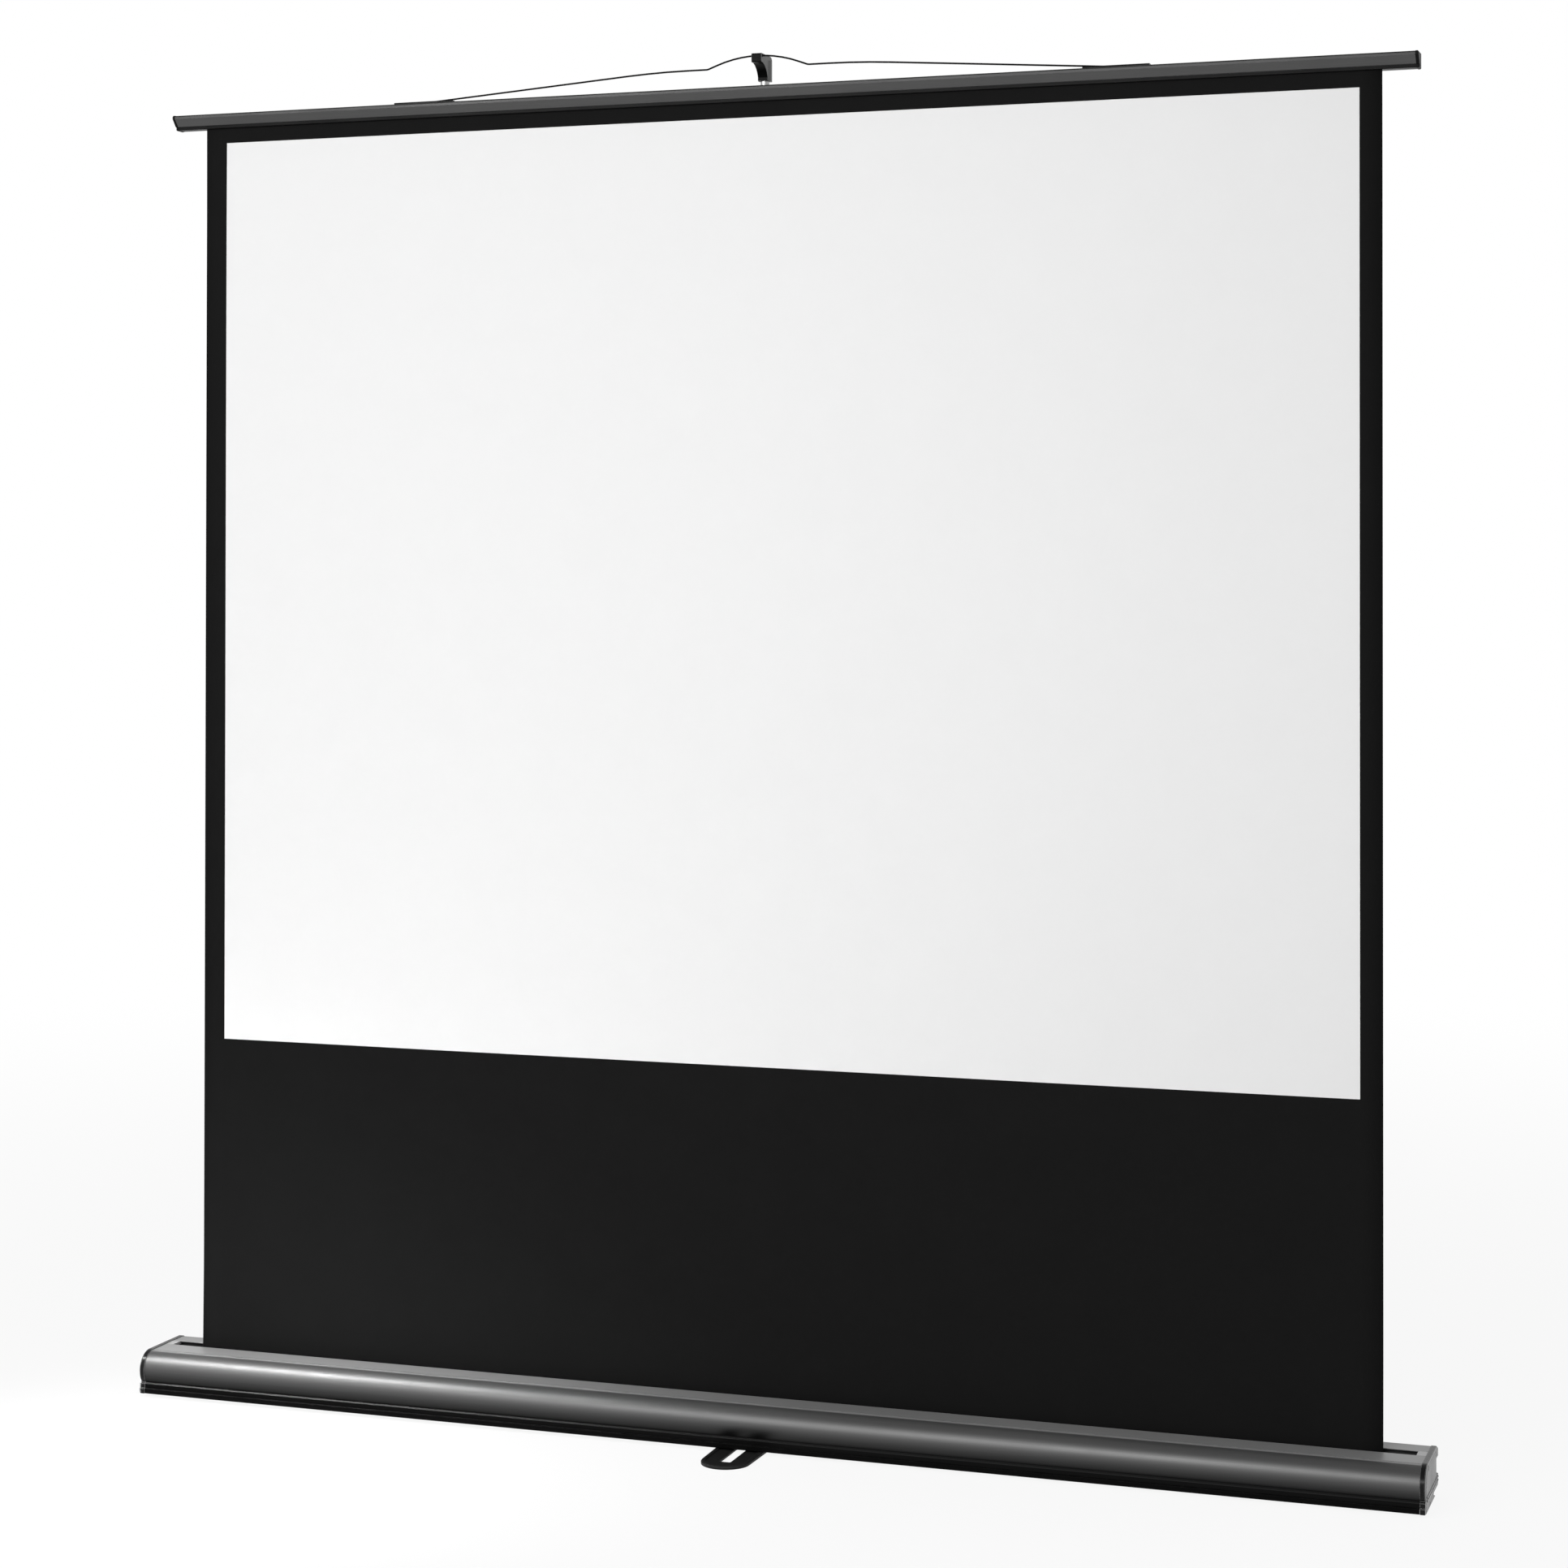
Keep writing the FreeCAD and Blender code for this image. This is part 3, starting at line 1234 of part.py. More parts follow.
def check_and_write():
    """Stop on any failed object, empty cut or bad solid, then write one file for each node."""
    doc.recompute()
    failed = [item.Name for item in doc.Objects if "Invalid" in item.State or "Error" in item.State]
    if failed:
        raise RuntimeError(f"failed objects: {failed}")
    for cut in cuts:
        if cut.Shape.Volume > cut.BaseFeature.Shape.Volume - 1e-6:
            raise RuntimeError(f"{cut.Name} cuts nothing")
    for node in nodes:
        if node.Shape.isNull() or not node.Shape.isValid() or not node.Shape.Solids:
            raise RuntimeError(f"{node.Label} has no valid solid")
    os.makedirs("parts", exist_ok=True)
    for node in nodes:
        node.Shape.exportStep(f"parts/{node.Label}.step")
    print(len(nodes), "nodes written")


make_case_shell()
make_base_rail()
make_end_caps()
make_slot_plugs()
make_swivel_foot()
make_roller()
make_brackets()
make_cloth()
make_top_rail()
make_lift_bow()
make_pole()
make_pole_socket()
make_thumb_screw()
make_hook_head()
check_and_write()
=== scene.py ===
import math

import bpy
from mathutils import Matrix, Vector


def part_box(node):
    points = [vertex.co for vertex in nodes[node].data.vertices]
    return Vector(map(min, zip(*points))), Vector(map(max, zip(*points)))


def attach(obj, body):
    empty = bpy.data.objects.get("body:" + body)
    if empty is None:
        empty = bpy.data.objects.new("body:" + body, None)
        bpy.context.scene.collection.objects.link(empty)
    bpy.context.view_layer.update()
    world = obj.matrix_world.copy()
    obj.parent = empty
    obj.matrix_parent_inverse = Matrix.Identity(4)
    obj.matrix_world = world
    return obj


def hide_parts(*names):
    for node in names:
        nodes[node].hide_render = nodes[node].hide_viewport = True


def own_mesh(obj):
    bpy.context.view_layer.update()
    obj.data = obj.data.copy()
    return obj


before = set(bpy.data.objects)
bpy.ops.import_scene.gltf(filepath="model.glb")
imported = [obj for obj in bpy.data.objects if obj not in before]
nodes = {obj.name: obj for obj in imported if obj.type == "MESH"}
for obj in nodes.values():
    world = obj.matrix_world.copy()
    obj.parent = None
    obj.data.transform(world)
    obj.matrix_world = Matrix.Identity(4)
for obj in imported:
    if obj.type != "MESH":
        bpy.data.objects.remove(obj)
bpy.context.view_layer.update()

# The view, solved from the corners of the white area in the 1932 px square photo.
PHOTO_WIDTH = 1932
FOCAL_PIXELS = 3905.4
AXIS_ROW = 678.5
CAMERA_PLACE = Vector((1.4059, -3.9716, 1.1394))
CAMERA_YAW = 18.903
CAMERA_PITCH = 0.614
CAMERA_ROLL = 0.075
SENSOR_WIDTH = 36

# The cloth, in metres. The white area stops short of the cut on all four sides.
CLOTH_THICKNESS = 0.0003
LEFT_BORDER = 0.0322
RIGHT_BORDER = 0.0286
WHITE_TOP = 1.7648
WHITE_BOTTOM = 0.496
CLOTH_STEP = 0.035
EDGE_CURL = 0.0012
EDGE_CURL_WIDTH = 0.05
WOUND_TURNS = 3
WOUND_STEPS = 48
WOUND_COLUMNS = 4

# Slack in the hung cloth: its depth, how far from the slot and the rail it grows, and its two waves,
# each in radians per metre across the cloth and up it.
SLACK_DEPTH = 0.0006
SLACK_FADE = 0.12
BROAD_ACROSS, BROAD_UP = 7.3, 2.4
BROAD_START_ACROSS, BROAD_START_UP = 1.1, 0.5
FINE_SHARE = 0.5
FINE_ACROSS, FINE_UP = 15.1, 2.0


# Small helpers for node trees


def add_node(tree, kind, values=(), **settings):
    made = tree.nodes.new(kind)
    for name, value in settings.items():
        setattr(made, name, value)
    for socket, value in dict(values).items():
        made.inputs[socket].default_value = value
    return made


def effect_group(name, inputs, outputs):
    """An empty shader node group with these sockets, and its two end nodes."""
    tree = bpy.data.node_groups.new(name, "ShaderNodeTree")
    for label, kind, value in inputs:
        socket = tree.interface.new_socket(label, in_out="INPUT", socket_type=kind)
        socket.default_value = value
    for label, kind in outputs:
        tree.interface.new_socket(label, in_out="OUTPUT", socket_type=kind)
    return tree, add_node(tree, "NodeGroupInput"), add_node(tree, "NodeGroupOutput")


def place_group(tree, group, values=()):
    return add_node(tree, "ShaderNodeGroup", values, node_tree=group)


# Effects that several finishes share

UP = (0, 0, 1)
LEFT = (-1, 0, 0)
RIGHT = (1, 0, 0)


def make_drawn_lines():
    """Long fine lines of an extruded or drawn metal, by a stretched noise."""
    tree, given, out = effect_group(
        "drawn_lines",
        [("Spread", "NodeSocketVector", (3, 900, 900)), ("Contrast", "NodeSocketFloat", 1)],
        [("Tone", "NodeSocketFloat"), ("Height", "NodeSocketFloat")],
    )
    place = add_node(tree, "ShaderNodeTexCoord")
    stretch = add_node(tree, "ShaderNodeVectorMath", operation="MULTIPLY")
    lines = add_node(tree, "ShaderNodeTexNoise", {"Scale": 1, "Detail": 4, "Roughness": 0.65})
    centred = add_node(tree, "ShaderNodeMath", {1: 0.5}, operation="SUBTRACT")
    scaled = add_node(tree, "ShaderNodeMath", operation="MULTIPLY")
    raised = add_node(tree, "ShaderNodeMath", {1: 0.5}, operation="ADD", use_clamp=True)
    tree.links.new(place.outputs["Object"], stretch.inputs[0])
    tree.links.new(given.outputs["Spread"], stretch.inputs[1])
    tree.links.new(stretch.outputs["Vector"], lines.inputs["Vector"])
    tree.links.new(lines.outputs["Fac"], centred.inputs[0])
    tree.links.new(centred.outputs["Value"], scaled.inputs[0])
    tree.links.new(given.outputs["Contrast"], scaled.inputs[1])
    tree.links.new(scaled.outputs["Value"], raised.inputs[0])
    tree.links.new(raised.outputs["Value"], out.inputs["Tone"])
    tree.links.new(lines.outputs["Fac"], out.inputs["Height"])
    return tree


def make_moulded_grain():
    """The fine spark-eroded grain of a moulded or powder-coated surface."""
    tree, given, out = effect_group(
        "moulded_grain",
        [("Grains", "NodeSocketFloat", 1500)],
        [("Tone", "NodeSocketFloat"), ("Height", "NodeSocketFloat")],
    )
    place = add_node(tree, "ShaderNodeTexCoord")
    pits = add_node(tree, "ShaderNodeTexVoronoi", feature="SMOOTH_F1")
    cloud = add_node(tree, "ShaderNodeTexNoise", {"Scale": 45, "Detail": 3, "Roughness": 0.6})
    tree.links.new(place.outputs["Object"], pits.inputs["Vector"])
    tree.links.new(place.outputs["Object"], cloud.inputs["Vector"])
    tree.links.new(given.outputs["Grains"], pits.inputs["Scale"])
    tree.links.new(cloud.outputs["Fac"], out.inputs["Tone"])
    tree.links.new(pits.outputs["Distance"], out.inputs["Height"])
    return tree


def make_handled_marks():
    """Faint wiped patches, from none at 0 to full at 1."""
    tree, given, out = effect_group(
        "handled_marks",
        [("Patches", "NodeSocketFloat", 9)],
        [("Marks", "NodeSocketFloat")],
    )
    place = add_node(tree, "ShaderNodeTexCoord")
    patch = add_node(tree, "ShaderNodeTexNoise", {"Detail": 5, "Roughness": 0.6, "Distortion": 0.4})
    spread = add_node(
        tree, "ShaderNodeMapRange", {"From Min": 0.35, "From Max": 0.7}, interpolation_type="SMOOTHSTEP"
    )
    tree.links.new(place.outputs["Object"], patch.inputs["Vector"])
    tree.links.new(given.outputs["Patches"], patch.inputs["Scale"])
    tree.links.new(patch.outputs["Fac"], spread.inputs["Value"])
    tree.links.new(spread.outputs["Result"], out.inputs["Marks"])
    return tree


def make_edge_wear_and_glint():
    """Edges that are rubbed round: a mask along them, broken down to Cover, and the rounded normal."""
    # On the caps and the foot this mask also carries a painted edge highlight, not only wear.
    tree, given, out = effect_group(
        "edge_wear_and_glint",
        [
            ("Width", "NodeSocketFloat", 0.0006), ("Breaks", "NodeSocketFloat", 60),
            ("Cover", "NodeSocketFloat", 0),
        ],
        [("Wear_and_glint", "NodeSocketFloat"), ("Rounded", "NodeSocketVector")],
    )
    soft = add_node(tree, "ShaderNodeBevel", samples=4)
    shape = add_node(tree, "ShaderNodeNewGeometry")
    place = add_node(tree, "ShaderNodeTexCoord")
    turned = add_node(tree, "ShaderNodeVectorMath", operation="DOT_PRODUCT")
    edge = add_node(tree, "ShaderNodeMapRange", {"From Min": 0.99, "From Max": 0.91})
    breaks = add_node(tree, "ShaderNodeTexNoise", {"Detail": 4, "Roughness": 0.7})
    rubbed = add_node(tree, "ShaderNodeMapRange", {"From Min": 0.38, "From Max": 0.62})
    worn_and_glint = add_node(tree, "ShaderNodeMath", operation="MULTIPLY", use_clamp=True)
    tree.links.new(given.outputs["Width"], soft.inputs["Radius"])
    tree.links.new(soft.outputs["Normal"], turned.inputs[0])
    tree.links.new(shape.outputs["Normal"], turned.inputs[1])
    tree.links.new(turned.outputs["Value"], edge.inputs["Value"])
    tree.links.new(place.outputs["Object"], breaks.inputs["Vector"])
    tree.links.new(given.outputs["Breaks"], breaks.inputs["Scale"])
    tree.links.new(breaks.outputs["Fac"], rubbed.inputs["Value"])
    tree.links.new(given.outputs["Cover"], rubbed.inputs["To Min"])
    tree.links.new(edge.outputs["Result"], worn_and_glint.inputs[0])
    tree.links.new(rubbed.outputs["Result"], worn_and_glint.inputs[1])
    tree.links.new(worn_and_glint.outputs["Value"], out.inputs["Wear_and_glint"])
    tree.links.new(soft.outputs["Normal"], out.inputs["Rounded"])
    return tree


def make_far_side():
    """0 short of Start and 1 past End, measured along an axis of the piece."""
    tree, given, out = effect_group(
        "far_side",
        [
            ("Axis", "NodeSocketVector", UP), ("Start", "NodeSocketFloat", 0),
            ("End", "NodeSocketFloat", 1),
        ],
        [("Zone", "NodeSocketFloat")],
    )
    place = add_node(tree, "ShaderNodeTexCoord")
    along = add_node(tree, "ShaderNodeVectorMath", operation="DOT_PRODUCT")
    step = add_node(tree, "ShaderNodeMapRange", interpolation_type="SMOOTHSTEP")
    tree.links.new(place.outputs["Object"], along.inputs[0])
    tree.links.new(given.outputs["Axis"], along.inputs[1])
    tree.links.new(along.outputs["Value"], step.inputs["Value"])
    tree.links.new(given.outputs["Start"], step.inputs["From Min"])
    tree.links.new(given.outputs["End"], step.inputs["From Max"])
    tree.links.new(step.outputs["Result"], out.inputs["Zone"])
    return tree


def make_slot_shade():
    """1 inside the slot that the cloth comes out of, and 0 elsewhere."""
    tree, given, out = effect_group(
        "slot_shade",
        [
            ("Front", "NodeSocketFloat", 0), ("Back", "NodeSocketFloat", 1),
            ("Top", "NodeSocketFloat", 1),
        ],
        [("Inside", "NodeSocketFloat")],
    )
    place = add_node(tree, "ShaderNodeTexCoord")
    split = add_node(tree, "ShaderNodeSeparateXYZ")
    tree.links.new(place.outputs["Object"], split.inputs["Vector"])
    tests = []
    for axis, limit, operation in (
        ("Y", "Front", "GREATER_THAN"), ("Y", "Back", "LESS_THAN"), ("Z", "Top", "LESS_THAN"),
    ):
        test = add_node(tree, "ShaderNodeMath", operation=operation)
        tree.links.new(split.outputs[axis], test.inputs[0])
        tree.links.new(given.outputs[limit], test.inputs[1])
        tests.append(test.outputs["Value"])
    last = tests[0]
    for test in tests[1:]:
        both = add_node(tree, "ShaderNodeMath", operation="MULTIPLY")
        tree.links.new(last, both.inputs[0])
        tree.links.new(test, both.inputs[1])
        last = both.outputs["Value"]
    tree.links.new(last, out.inputs["Inside"])
    return tree


def make_cloth_weave():
    """A plain weave by the cloth's own flat measure, so it goes where the cloth goes."""
    tree, given, out = effect_group(
        "cloth_weave",
        [("Threads", "NodeSocketFloat", 900)],
        [("Tone", "NodeSocketFloat"), ("Height", "NodeSocketFloat")],
    )
    flat = add_node(tree, "ShaderNodeUVMap", uv_map="flat_cut")
    split = add_node(tree, "ShaderNodeSeparateXYZ")
    tree.links.new(flat.outputs["UV"], split.inputs["Vector"])
    waves = []
    for axis in ("X", "Y"):
        count = add_node(tree, "ShaderNodeMath", operation="MULTIPLY")
        turn = add_node(tree, "ShaderNodeMath", {1: math.pi}, operation="MULTIPLY")
        wave = add_node(tree, "ShaderNodeMath", operation="SINE")
        tree.links.new(split.outputs[axis], count.inputs[0])
        tree.links.new(given.outputs["Threads"], count.inputs[1])
        tree.links.new(count.outputs["Value"], turn.inputs[0])
        tree.links.new(turn.outputs["Value"], wave.inputs[0])
        waves.append(wave)
    crossed = add_node(tree, "ShaderNodeMath", operation="MULTIPLY")
    yarn = add_node(tree, "ShaderNodeTexNoise", {"Scale": 14, "Detail": 6, "Roughness": 0.7})
    tree.links.new(waves[0].outputs["Value"], crossed.inputs[0])
    tree.links.new(waves[1].outputs["Value"], crossed.inputs[1])
    tree.links.new(flat.outputs["UV"], yarn.inputs["Vector"])
    tree.links.new(crossed.outputs["Value"], out.inputs["Height"])
    tree.links.new(yarn.outputs["Fac"], out.inputs["Tone"])
    return tree


DRAWN_LINES = make_drawn_lines()
MOULDED_GRAIN = make_moulded_grain()
HANDLED_MARKS = make_handled_marks()
EDGE_WEAR_AND_GLINT = make_edge_wear_and_glint()
FAR_SIDE = make_far_side()
SLOT_SHADE = make_slot_shade()
CLOTH_WEAVE = make_cloth_weave()


# Finishes


# The near black painted as shade on the walls inside the case's slot.
SLOT_SHADE_TONE = 0.002
RELIEF_DEPTH = 0.0002
WEAVE_DEPTH = 0.0001
CLOTH_SMOOTH = 0.82
CLOTH_ROUGH = 0.95


def grey(level, warmth=0.0):
    return (level * (1 + warmth), level, level * (1 - warmth), 1)


def mix_colours(tree, share, first, second):
    """Base colours mixed by a mask; first and second are colours or sockets."""
    mix = add_node(tree, "ShaderNodeMix", data_type="RGBA")
    for socket, colour in ((6, first), (7, second)):
        if isinstance(colour, bpy.types.NodeSocket):
            tree.links.new(colour, mix.inputs[socket])
        else:
            mix.inputs[socket].default_value = colour
    tree.links.new(share, mix.inputs[0])
    return mix.outputs[2]


def make_finish(
    name, dark, light, worn_and_glint, smooth, rough, metallic, effect, effect_values, bump,
    wear_width=0.0006, wear_cover=0, soft_edges=True, specular=0.5, zones=(), hollow=None,
):
    """A rigid finish: tone and bump from the effect, gloss from the marks, and rubbed edges.

    Each zone gives an axis, where it starts and is full, and the two tones and the metal share there;
    on the case, the caps and the hook head the zones paint light and shade onto the piece.
    A hollow gives the front, back and top of a slot whose walls are painted near black as shade.
    On the caps and the foot the rubbed edges also carry a painted edge highlight.
    """
    finish = bpy.data.materials.new(name)
    finish.use_nodes = True
    tree = finish.node_tree
    shader = tree.nodes["Principled BSDF"]
    shader.inputs["Metallic"].default_value = metallic
    shader.inputs["Specular IOR Level"].default_value = specular
    texture = place_group(tree, effect, effect_values)
    marks = place_group(tree, HANDLED_MARKS)
    edges = place_group(tree, EDGE_WEAR_AND_GLINT, {"Width": wear_width, "Cover": wear_cover})
    body_colour = mix_colours(tree, texture.outputs["Tone"], dark, light)
    metal_varies = any(zone[-1] != metallic for zone in zones)
    metal_below = None
    for axis, start, end, zone_dark, zone_light, zone_metallic in zones:
        zone = place_group(tree, FAR_SIDE, {"Axis": axis, "Start": start, "End": end})
        zone_colour = mix_colours(tree, texture.outputs["Tone"], zone_dark, zone_light)
        body_colour = mix_colours(tree, zone.outputs["Zone"], body_colour, zone_colour)
        if not metal_varies:
            continue
        share = add_node(tree, "ShaderNodeMapRange", {"To Min": metallic, "To Max": zone_metallic})
        tree.links.new(zone.outputs["Zone"], share.inputs["Value"])
        if metal_below:
            tree.links.new(metal_below, share.inputs["To Min"])
        metal_below = share.outputs["Result"]
    if metal_below:
        tree.links.new(metal_below, shader.inputs["Metallic"])
    colour = mix_colours(tree, edges.outputs["Wear_and_glint"], body_colour, worn_and_glint)
    if hollow:
        # Painted shade: the walls inside the slot are painted near black.
        slot = place_group(tree, SLOT_SHADE, dict(zip(("Front", "Back", "Top"), hollow)))
        colour = mix_colours(tree, slot.outputs["Inside"], colour, grey(SLOT_SHADE_TONE))
    gloss = add_node(tree, "ShaderNodeMapRange", {"To Min": smooth, "To Max": rough})
    relief = add_node(tree, "ShaderNodeBump", {"Strength": bump, "Distance": RELIEF_DEPTH})
    tree.links.new(colour, shader.inputs["Base Color"])
    tree.links.new(marks.outputs["Marks"], gloss.inputs["Value"])
    tree.links.new(gloss.outputs["Result"], shader.inputs["Roughness"])
    tree.links.new(texture.outputs["Height"], relief.inputs["Height"])
    if soft_edges:
        tree.links.new(edges.outputs["Rounded"], relief.inputs["Normal"])
    tree.links.new(relief.outputs["Normal"], shader.inputs["Normal"])
    return finish


def make_cloth_finish(name, dark, light, bump, specular):
    """Matt coated cloth with a fine weave."""
    finish = bpy.data.materials.new(name)
    finish.use_nodes = True
    tree = finish.node_tree
    shader = tree.nodes["Principled BSDF"]
    shader.inputs["Specular IOR Level"].default_value = specular
    weave = place_group(tree, CLOTH_WEAVE)
    relief = add_node(tree, "ShaderNodeBump", {"Strength": bump, "Distance": WEAVE_DEPTH})
    gloss = add_node(tree, "ShaderNodeMapRange", {"To Min": CLOTH_SMOOTH, "To Max": CLOTH_ROUGH})
    tree.links.new(mix_colours(tree, weave.outputs["Tone"], dark, light), shader.inputs["Base Color"])
    tree.links.new(weave.outputs["Tone"], gloss.inputs["Value"])
    tree.links.new(gloss.outputs["Result"], shader.inputs["Roughness"])
    tree.links.new(weave.outputs["Height"], relief.inputs["Height"])
    tree.links.new(relief.outputs["Normal"], shader.inputs["Normal"])
    return finish


# Where the tone changes on a piece, in metres along an axis. On the case it is painted light and shade,
# upward: near black under the flange, painted darker over the flange and the lower nose, its own tone
# over the nose, less metallic near the crown as a painted lift, and a painted light strip over the flat
# top. On the rail the tone steps upward: near black below the face, lighter over the face, and darker
# over the brow and its top. Outward on a cap come painted highlights: a pale line on the outer part of
# the rim's bevel and pale ribs, with the end face between them near black. Outward on the two sides of
# the hook head comes a paler grey as painted side light. The slot of the case is given by its front,
# its back and its top, and its walls are painted near black as shade.
CASE_SLOT = (0.0119, 0.0321, 0.0603)
# Painted light and shade on the case: darker toward the bottom, lifted near the crown, a painted light
# strip on the flat top.
CASE_PAINTED_SHADING = [
    (UP, 0.0168, 0.0184, grey(0.030), grey(0.038), 1),
    (UP, 0.024, 0.044, grey(0.092), grey(0.112), 1),
    (UP, 0.050, 0.058, grey(0.070), grey(0.086), 0.35),
    (UP, 0.0598, 0.0606, grey(0.26), grey(0.30), 0.12),
]
RAIL_TONES = [
    (UP, 1.7895, 1.7905, grey(0.086), grey(0.106), 1),
    (UP, 1.7995, 1.8005, grey(0.040), grey(0.050), 1),
]
CAP_PAINTED_HIGHLIGHTS = []
HEAD_PAINTED_SIDE_LIGHT = []
for side in (RIGHT, LEFT):
    # Painted highlights on each cap: a pale line on the outer part of the rim's bevel and pale ribs, the
    # end face near black between.
    CAP_PAINTED_HIGHLIGHTS += [
        (side, 0.8904, 0.8907, grey(0.36), grey(0.42), 0),
        (side, 0.8917, 0.8919, grey(0.004), grey(0.008), 0),
        (side, 0.8922, 0.8925, grey(0.36), grey(0.44), 0),
    ]
    # Painted side light: the two side faces of the hook head are a paler grey than its black front.
    HEAD_PAINTED_SIDE_LIGHT.append((side, 0.0066, 0.0069, grey(0.19), grey(0.25), 0))
DRAWN_ALONG = {"Spread": (4, 1500, 1500), "Contrast": 1.4}

case_satin = make_finish(
    "case_satin_anodised", dark=grey(0.005), light=grey(0.008), worn_and_glint=grey(0.03),
    smooth=0.44, rough=0.47, metallic=1,
    effect=DRAWN_LINES, effect_values=DRAWN_ALONG, bump=0.05, soft_edges=False,
    hollow=CASE_SLOT, zones=CASE_PAINTED_SHADING,
)
rail_satin = make_finish(
    "rail_satin_anodised", dark=grey(0.004), light=grey(0.006), worn_and_glint=grey(0.02),
    smooth=0.36, rough=0.44, metallic=0.5,
    effect=DRAWN_LINES, effect_values=DRAWN_ALONG, bump=0.08, specular=0.1,
    zones=RAIL_TONES,
)
pole_bright = make_finish(
    "pole_drawn_aluminium", dark=grey(0.32), light=grey(0.40), worn_and_glint=grey(0.55),
    smooth=0.22, rough=0.32, metallic=1,
    effect=DRAWN_LINES, effect_values={"Spread": (1200, 1200, 4), "Contrast": 1.2}, bump=0.05,
)
plated_steel = make_finish(
    "zinc_plated_steel", dark=grey(0.48, -0.01), light=grey(0.6, 0.02), worn_and_glint=grey(0.72),
    smooth=0.28, rough=0.42, metallic=1,
    effect=DRAWN_LINES, effect_values={"Spread": (30, 400, 400), "Contrast": 1.0}, bump=0.05,
)
spring_oiled = make_finish(
    "oiled_spring_wire", dark=grey(0.20), light=grey(0.30, 0.02), worn_and_glint=grey(0.45),
    smooth=0.25, rough=0.40, metallic=1,
    effect=DRAWN_LINES, effect_values={"Spread": (60, 900, 900), "Contrast": 1.2}, bump=0.05,
)
base_black = make_finish(
    "base_powder_black", dark=grey(0.0018), light=grey(0.0034), worn_and_glint=grey(0.02),
    smooth=0.45, rough=0.58, metallic=0,
    effect=MOULDED_GRAIN, effect_values={"Grains": 1100}, bump=0.20, specular=0.03,
)
# The foot's pale edge colour is a painted edge highlight as well as wear.
foot_black = make_finish(
    "foot_powder_black", dark=grey(0.009), light=grey(0.017), worn_and_glint=grey(0.07),
    smooth=0.40, rough=0.52, metallic=0,
    effect=MOULDED_GRAIN, effect_values={"Grains": 1100}, bump=0.15, specular=0.1,
    wear_width=0.0012, wear_cover=0.5,
)
# The caps' pale edge colour is a painted rim highlight as well as wear.
cap_black = make_finish(
    "cap_moulded_black", dark=grey(0.004), light=grey(0.008), worn_and_glint=grey(0.30),
    smooth=0.20, rough=0.28, metallic=0,
    effect=MOULDED_GRAIN, effect_values={"Grains": 1600}, bump=0.08, specular=0.15,
    wear_width=0.0010, wear_cover=0.7, zones=CAP_PAINTED_HIGHLIGHTS,
)
rail_cap_black = make_finish(
    "rail_cap_moulded_black", dark=grey(0.003), light=grey(0.006), worn_and_glint=grey(0.02),
    smooth=0.40, rough=0.50, metallic=0,
    effect=MOULDED_GRAIN, effect_values={"Grains": 1600}, bump=0.10, specular=0.06,
)
plug_grey = make_finish(
    "plug_moulded_grey", dark=grey(0.40), light=grey(0.46), worn_and_glint=grey(0.50),
    smooth=0.40, rough=0.52, metallic=0,
    effect=MOULDED_GRAIN, effect_values={"Grains": 1600}, bump=0.15,
)
clip_black = make_finish(
    "clip_moulded_black", dark=grey(0.002), light=grey(0.004), worn_and_glint=grey(0.03),
    smooth=0.26, rough=0.36, metallic=0,
    effect=MOULDED_GRAIN, effect_values={"Grains": 1600}, bump=0.10, specular=0.06,
)
lock_black = make_finish(
    "lock_moulded_black", dark=grey(0.009), light=grey(0.015), worn_and_glint=grey(0.10),
    smooth=0.30, rough=0.42, metallic=0,
    effect=MOULDED_GRAIN, effect_values={"Grains": 1600}, bump=0.10, wear_cover=0.3, specular=0.25,
)
head_black = make_finish(
    "head_moulded_black", dark=grey(0.002), light=grey(0.004), worn_and_glint=grey(0.03),
    smooth=0.26, rough=0.36, metallic=0,
    effect=MOULDED_GRAIN, effect_values={"Grains": 1600}, bump=0.10, specular=0.06,
    zones=HEAD_PAINTED_SIDE_LIGHT,
)
inner_nylon = make_finish(
    "inner_natural_nylon", dark=grey(0.55, 0.02), light=grey(0.66, 0.03), worn_and_glint=grey(0.7),
    smooth=0.42, rough=0.55, metallic=0,
    effect=MOULDED_GRAIN, effect_values={"Grains": 900}, bump=0.10,
)
wire_black = make_finish(
    "bow_coated_wire", dark=grey(0.002), light=grey(0.004), worn_and_glint=grey(0.01),
    smooth=0.34, rough=0.46, metallic=0,
    effect=MOULDED_GRAIN, effect_values={"Grains": 1400}, bump=0.08, wear_width=0.0003, specular=0.05,
)
screw_black = make_finish(
    "screw_blackened_steel", dark=grey(0.05), light=grey(0.09), worn_and_glint=grey(0.3),
    smooth=0.30, rough=0.42, metallic=1,
    effect=MOULDED_GRAIN, effect_values={"Grains": 1800}, bump=0.05, wear_width=0.0002,
)
screen_white = make_cloth_finish("screen_white_cloth", grey(0.865), grey(0.895), 0.12, specular=0.2)
screen_black = make_cloth_finish("screen_black_border", grey(0.0082), grey(0.0112), 0.20, specular=0.04)

